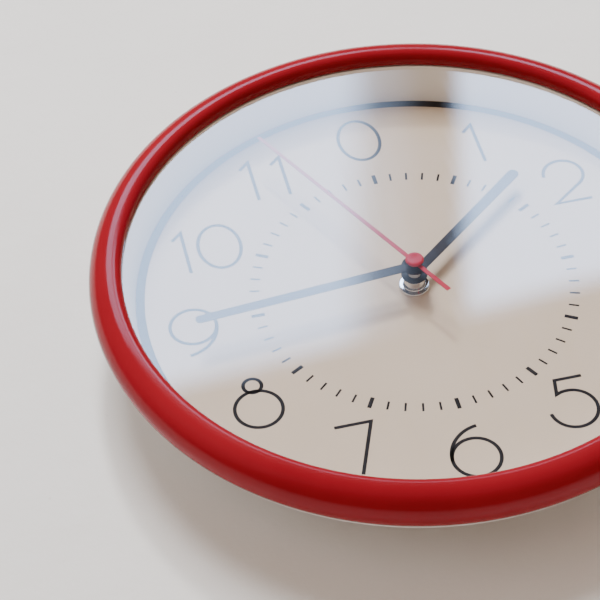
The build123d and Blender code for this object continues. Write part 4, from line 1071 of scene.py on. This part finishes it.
@dataclass
class Movement:
    """Square movement: shell with an open battery bay, rear cover, its marks and the cell."""

    shop: Workshop
    half: float = 28.0
    wall: float = 1.2
    corner: float = 2.0
    partition: Point = (-12.1, -10.9)
    cell_y: float = -19.45
    cell_z: float = 9.4
    notch: float = 4.73
    fins: tuple[float, ...] = (-17.0, 0.0, 17.0)
    knob: Point = (14.29, 0.62)
    knob_ring: Point = (5.7, 6.4)
    arrow_radius: float = 8.2
    arrow_sweep: float = 85.0
    grips: tuple[int, float] = (5, 2.2)
    bosses: tuple[Point, ...] = ((-24.5, 24.5), (24.5, 24.5), (-24.5, -4.0), (24.5, -4.0))
    rules: tuple[float, ...] = (4.0, 0.8, -2.4)
    cell_ends: Point = (-24.0, 25.0)
    cell_radius: float = 7.1
    cell_split: float = 0.68
    nub: Point = (2.7, 1.0)

    def build(self) -> None:
        """Makes shell, cover, marks, label and cell."""
        _, self.rim, self.front = self.shop.reach("movement_base")
        self.cover_back = self.shop.reach("movement_cover")[1]
        self.shell()
        self.cover()
        self.label()
        self.cell()

    def shell(self) -> None:
        """Walls and front; each end wall has a half-round finger notch at the bay."""
        sides = rectangle((-self.half, self.half), (-self.half, self.half), self.corner)
        share = np.linspace(0, 1, 40, endpoint=False)[None, :, None]
        ahead = np.roll(sides, -1, axis=0)
        long = np.linalg.norm(ahead - sides, axis=1) > 5
        dense = [np.atleast_2d(a) if not far else (a * (1 - share[0]) + b * share[0])
                 for a, b, far in zip(sides, ahead, long)]
        outline = np.concatenate(dense)

        def ring(inset: float, drop: float | None, level: float = 0.0) -> np.ndarray:
            """Outline shrunk by an inset, at a level or at a drop from the notched rim."""
            flat = offset_outline(outline, -inset)
            if drop is None:
                return at_level(flat, level)
            away = self.notch ** 2 - (outline[:, 1] - self.cell_y) ** 2
            dip = np.where(np.abs(outline[:, 0]) > self.half - 0.1, np.sqrt(np.maximum(away, 0)), 0)
            return at_level(flat, self.rim + dip + drop)

        wall, front = self.wall, self.front
        rings = [ring(wall, None, front - wall), ring(wall, 0.2), ring(wall - 0.15, 0.0), ring(0.3, 0.0),
                 ring(0.08, 0.1), ring(0.0, 0.3), ring(0.0, None, front - 0.5), ring(0.15, None, front - 0.15),
                 ring(0.5, None, front)]
        mesh = Mesh(self.shop.bench).add(np.stack(rings), caps=True)
        inner = self.half - wall
        floor = front - wall + 0.1
        mesh.add(bar(-inner - 0.1, inner + 0.1, *self.partition, self.rim, floor, 0.2), caps=True)
        edge = self.partition[0]
        for x in self.fins:
            mesh.add(bar(x - 0.6, x + 0.6, edge - 0.9, edge + 0.2, self.rim + 1.5, floor, 0.15), caps=True)
        self.shop.finish(mesh.piece("movement_shell", 30.0), Slot.SHELL, "case", "movement_base")

    def cover(self) -> None:
        """Flat cover with a ring and two arrows round the knob, grip bars and the bay's polarity marks."""
        back, inner = self.cover_back, self.half
        outline = soften([(-inner, self.partition[0], 0.6), (inner, self.partition[0], 0.6),
                          (inner, inner, self.corner), (-inner, inner, self.corner)], 6)
        mesh = Mesh(self.shop.bench).add(slab(outline, back, self.rim, 0.35), caps=True)
        high = back + 0.1
        low, (inside, outside) = back - 0.35, self.knob_ring
        ring = soften([(inside, high, 0.0), (inside, low, 0.15), (outside, low, 0.15), (outside, high, 0.0)], 3)
        mesh.add(turned(ring, 96, self.knob), loop_rows=True)
        for start in (25.0, 205.0):
            stroke = arc(self.knob, self.arrow_radius, start, start + self.arrow_sweep, 20)
            mesh.add(ribbon(stroke, 0.7, back - 0.2, high, False), caps=True)
            tip = stroke[-1]
            turn = math.radians(start + self.arrow_sweep)
            along = np.array([-math.sin(turn), math.cos(turn)])
            across = np.array([math.cos(turn), math.sin(turn)])
            head = np.stack([tip + across * 1.5, tip + along * 2.6, tip - across * 1.5])
            mesh.add(slab(head, back - 0.2, high, 0.02), caps=True)
        for row in range(self.grips[0]):
            y = self.half - 4.5 - self.grips[1] * row
            mesh.add(bar(-16.0, -2.0, y - 0.45, y + 0.45, back - 0.3, high, 0.2), caps=True)
        for x, strokes in ((24.0, ((1.6, 0.3), (0.3, 1.6))), (-24.0, ((1.6, 0.3),))):
            for wide, tall in strokes:
                mesh.add(bar(x - wide, x + wide, -8.6 - tall, -8.6 + tall, back - 0.2, high, 0.08), caps=True)
        low = back - 0.25
        boss = soften([(POLE, low, 0.0), (1.7, low, 0.2), (1.7, high, 0.0), (POLE, high, 0.0)], 4)
        for spot in self.bosses:
            mesh.add(turned(boss, 36, spot), caps=True)
        self.shop.finish(mesh.piece("movement_lid", 30.0), Slot.SHELL, "case", "movement_cover")

    def label(self) -> None:
        """Plain paper label with a printed frame and three rules."""
        back = self.cover_back
        paper = Mesh(self.shop.bench).add(bar(-20.0, 4.0, -7.0, 8.5, back - 0.08, back + 0.05, 0.03), caps=True)
        self.shop.finish(paper.piece("label_paper"), Slot.WHITE, "case")
        low, high = back - 0.10, back
        frame = np.array([(-19.0, -6.0), (3.0, -6.0), (3.0, 7.5), (-19.0, 7.5)])
        ink = Mesh(self.shop.bench).add(ribbon(frame, 0.35, low, high, True), loop_rows=True)
        for y in self.rules:
            ink.add(ribbon(np.array([(-17.0, y), (1.0, y)]), 0.5, low, high, False), caps=True)
        self.shop.finish(ink.piece("label_print"), Slot.DIAL, "case", material=self.shop.palette.ink)

    def along(self, profile: np.ndarray, segments: int = 96) -> np.ndarray:
        """Grid of (position along the cell, radius) points turned about the cell's own axis."""
        grid = turned(profile[:, ::-1], segments)
        return np.stack([grid[..., 2], grid[..., 0] + self.cell_y, grid[..., 1] + self.cell_z], axis=-1)

    def cell(self) -> None:
        """Sleeve in two colours, rolled steel ends, the nub and a polarity mark."""
        start, end = self.cell_ends
        radius = self.cell_radius
        split = start + self.cell_split * (end - start)
        sleeve = np.array([(start + 0.25, radius - 1.3), (start + 0.15, radius - 0.5), (start + 0.5, radius),
                           (split, radius)])
        mesh = Mesh(self.shop.bench).add(self.along(sleeve))
        self.shop.finish(mesh.piece("cell_sleeve"), Slot.CELL, "battery", "battery")
        band = np.array([(split, radius), (end - 0.6, radius), (end - 0.2, radius - 0.5), (end - 0.3, radius - 1.3)])
        mesh = Mesh(self.shop.bench).add(self.along(band))
        self.shop.finish(mesh.piece("cell_band"), Slot.CELL, "battery", material=self.shop.palette.band)
        width, length = self.nub
        ends = np.array([
            (end - 0.35, radius - 1.2), (end - 0.35, width + 0.6), (end - 0.1, width), (end + length - 0.3, width),
            (end + length, width - 0.4), (end + length, POLE)])
        foot = np.array([(start, POLE), (start, radius - 2.2), (start + 0.3, radius - 1.9),
                         (start + 0.3, radius - 1.2)])
        mesh = Mesh(self.shop.bench).add(self.along(ends)).add(self.along(foot))
        self.shop.finish(mesh.piece("cell_ends"), Slot.SPRING, "battery")
        mark = Mesh(self.shop.bench)
        low = self.cell_z - radius - 0.01
        for wide, tall in ((1.7, 0.35), (0.35, 1.7)):
            spot = split + 9.0
            mark.add(bar(spot - wide, spot + wide, self.cell_y - tall, self.cell_y + tall, low, low + 0.3, 0.02),
                     caps=True)
        self.shop.finish(mark.piece("cell_mark"), Slot.WHITE, "battery")


# ---- carried-over nodes --------------------------------------------------------------------------
def dress_frame(shop: Workshop) -> None:
    """Gives every CAD node that still shows the finish of its record slot."""
    by_name = {slot.value: slot for slot in Slot}
    for part in shop.frame["record"]["subparts"]:
        node = shop.frame["nodes"][part["node"]]
        slot = by_name[part["material_slot"]]
        node.data.materials.clear()
        screw = part["node"] == "case_screws"
        node.data.materials.append(shop.palette.zinc if screw else shop.palette.of[slot])


# ---- studio --------------------------------------------------------------------------------------
@dataclass(frozen=True)
class Lamp:
    """One square area light that looks at the clock: place and side in metres, power in watts."""

    name: str
    spot: tuple[float, float, float]
    size: float
    power: float
    tint: Colour

    def light(self, target: Vector) -> None:
        """Makes the light, unseen by the camera and by mirrors, aimed at a target."""
        lamp = bpy.data.lights.new(self.name, "AREA")
        lamp.shape, lamp.size, lamp.energy, lamp.color = "SQUARE", self.size, self.power, self.tint
        item = bpy.data.objects.new(self.name, lamp)
        item.location = self.spot
        item.rotation_euler = (target - Vector(self.spot)).to_track_quat("-Z", "Y").to_euler()
        item.visible_camera = False
        item.visible_glossy = False
        bpy.context.scene.collection.objects.link(item)


@dataclass
class Studio:
    """Wall, lights and camera."""

    bench: Bench
    wall_size: float = 6.0
    wall_gap: float = 0.4
    opening: float = 106.0
    camera_from_face: tuple[float, float, float] = (-180.47, -648.11, 700.23)
    camera_axes: tuple[tuple[float, float, float], ...] = (
        (0.97381523, 0.02908518, -0.22547271),
        (0.18309774, -0.6882169, 0.70202045),
        (-0.13475574, -0.72492175, -0.67552153))
    lens: float = 132.96
    pane_distance: float = 2.5
    pane_lean: float = 0.252
    pane_edges: tuple[float, float, float] = (0.48, 0.58, 0.705)
    pane_sill: float = 2.03
    pane_half_bright: float = 0.17
    pane_power: float = 14.5
    pane_tint: Colour = (0.50, 0.68, 1.0)
    room_low: Colour = (0.50, 0.33, 0.22)
    room_high: Colour = (0.66, 0.58, 0.51)
    room_power: float = 0.92
    room_mirrored: float = 0.12
    lamps: tuple[Lamp, ...] = (
        Lamp("key", (-0.2, -2.6, 1.85), 1.3, 122.0, (0.96, 0.985, 1.0)),
        Lamp("pane", (0.15, -2.35, 2.4), 0.30, 66.0, (0.96, 0.985, 1.0)),
        Lamp("fill", (-1.6, -1.6, -0.2), 1.4, 10.0, (1.0, 0.95, 0.90)))

    def build(self) -> None:
        """Makes everything that isn't the clock."""
        self.wall()
        self.windows()
        self.lights()
        self.world()
        self.camera()

    def wall(self) -> None:
        """Flat plastered wall, one-sided, in the wall plane; an opening behind the hoop lets light reach the back.

        Each ray from the hand axis runs from the opening's circle to the square's edge, so the grid's two rings
        are the circle and the square sampled at the same angles.
        """
        angles = 2 * np.pi * np.arange(144) / 144
        flat = np.stack([np.cos(angles), np.sin(angles)], axis=1)
        inner = flat * self.opening
        outer = flat * (self.wall_size / 2 / MILLIMETRE) / np.abs(flat).max(axis=1, keepdims=True)
        grid = np.stack([at_level(ring, -self.wall_gap) for ring in (inner, outer)])
        wall = Mesh(self.bench).add(grid).piece("wall")
        if wall.data.polygons[0].normal.y > 0:
            wall.data.flip_normals()
        wall.data.materials.append(Plaster().make())

    def windows(self) -> None:
        """Two bright panes with soft edges in front of the clock, high up, that the lens mirrors.

        Brightness is a product of smooth steps: the panes' leaning sides, a half-bright strip beside the left
        pane and a nearly level sill.
        """
        x, z = np.meshgrid(np.linspace(-0.9, 2.4, 166), np.linspace(1.8, 4.2, 121))

        def step(value: np.ndarray, soft: float) -> np.ndarray:
            """Smooth step from 0 to 1 about zero."""
            t = np.clip(value / soft + 0.5, 0, 1)
            return t * t * (3 - 2 * t)

        lean = x - self.pane_lean * (z - 2.05)
        left_end, strip_end, right_start = self.pane_edges
        left = step(left_end - lean, 0.12)
        middle = self.pane_half_bright * (1 - left) * step(strip_end - lean, 0.12)
        right = step(lean - right_start, 0.07)
        glow = (left + middle + right) * step(z - self.pane_sill - 0.08 * lean, 0.10)
        points = np.stack([x, np.full_like(x, -self.pane_distance), z], axis=-1).reshape(-1, 3)
        index = np.arange(x.size).reshape(x.shape)
        quads = np.stack([index[:-1, :-1], index[1:, :-1], index[1:, 1:], index[:-1, 1:]], axis=-1).reshape(-1, 4)
        mesh = bpy.data.meshes.new("window_panes")
        mesh.from_pydata(points.tolist(), [], quads.tolist())
        layer = mesh.attributes.new("glow", "FLOAT", "POINT")
        layer.data.foreach_set("value", glow.ravel().astype(np.float32))
        graph = Graph("window_light")
        value = graph.node("Attribute", attribute_name="glow").outputs["Fac"]
        light = graph.node("Emission", {"Color": (*self.pane_tint, 1.0), "Strength": self.pane_power})
        clear = graph.node("BsdfTransparent")
        mixed = graph.node("MixShader", {"0": value, "1": clear.outputs[0], "2": light.outputs[0]})
        mesh.materials.append(graph.surface(mixed.outputs[0]))
        panes = bpy.data.objects.new("window_panes", mesh)
        panes.visible_camera = False
        panes.visible_shadow = False
        panes.visible_diffuse = False
        bpy.context.scene.collection.objects.link(panes)

    def lights(self) -> None:
        """Broad key and a smaller pane from the window's side, weak warm fill from below left."""
        for lamp in self.lamps:
            lamp.light(Vector((0.0, 0.0, float(self.bench.axis[2]))))

    def world(self) -> None:
        """Warm grey room, a little brighter above and dimmer in reflections."""
        world = bpy.data.worlds.new("room")
        world.use_nodes = True
        tree = world.node_tree
        back = tree.nodes["Background"]
        source = tree.nodes.new("ShaderNodeTexCoord")
        split = tree.nodes.new("ShaderNodeSeparateXYZ")
        ramp = tree.nodes.new("ShaderNodeValToRGB")
        spread = tree.nodes.new("ShaderNodeMapRange")
        path = tree.nodes.new("ShaderNodeLightPath")
        strength = tree.nodes.new("ShaderNodeMapRange")
        tree.links.new(source.outputs["Generated"], split.inputs[0])
        tree.links.new(split.outputs["Z"], spread.inputs["Value"])
        spread.inputs["From Min"].default_value = -1.0
        tree.links.new(spread.outputs[0], ramp.inputs[0])
        ramp.color_ramp.elements[0].color = (*self.room_low, 1.0)
        ramp.color_ramp.elements[1].color = (*self.room_high, 1.0)
        tree.links.new(ramp.outputs[0], back.inputs["Color"])
        tree.links.new(path.outputs["Is Glossy Ray"], strength.inputs["Value"])
        strength.inputs["To Min"].default_value = self.room_power
        strength.inputs["To Max"].default_value = self.room_mirrored
        tree.links.new(strength.outputs[0], back.inputs["Strength"])
        bpy.context.scene.world = world

    def camera(self) -> None:
        """Long lens below the clock, rolled, looking up across the dial."""
        data = bpy.data.cameras.new("view")
        data.lens, data.sensor_width = self.lens, 36.0
        data.clip_start, data.clip_end = 0.01, 50.0
        eye = bpy.data.objects.new("view", data)
        x, y, z = self.camera_from_face
        spot = self.bench.place(np.array([x, y, z + self.bench.face]))
        turn = Matrix([[axis[row] for axis in self.camera_axes] for row in range(3)])
        eye.matrix_world = Matrix.Translation(Vector(spot.tolist())) @ turn.to_4x4()
        bpy.context.scene.collection.objects.link(eye)
        bpy.context.scene.camera = eye


def main() -> None:
    """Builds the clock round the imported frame, then the studio."""
    logging.basicConfig(level=logging.INFO, format="%(name)s %(message)s")
    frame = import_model()
    bench = Bench()
    shop = Workshop(frame, bench, Palette(bench))
    dress_frame(shop)
    builders: tuple[Callable[[], None], ...] = (
        RingCase(shop).build, Dial(shop).build, Hands(shop).build, RearCase(shop).build, Movement(shop).build,
        Studio(bench).build)
    for build in builders:
        build()


if __name__ == "__main__":
    main()
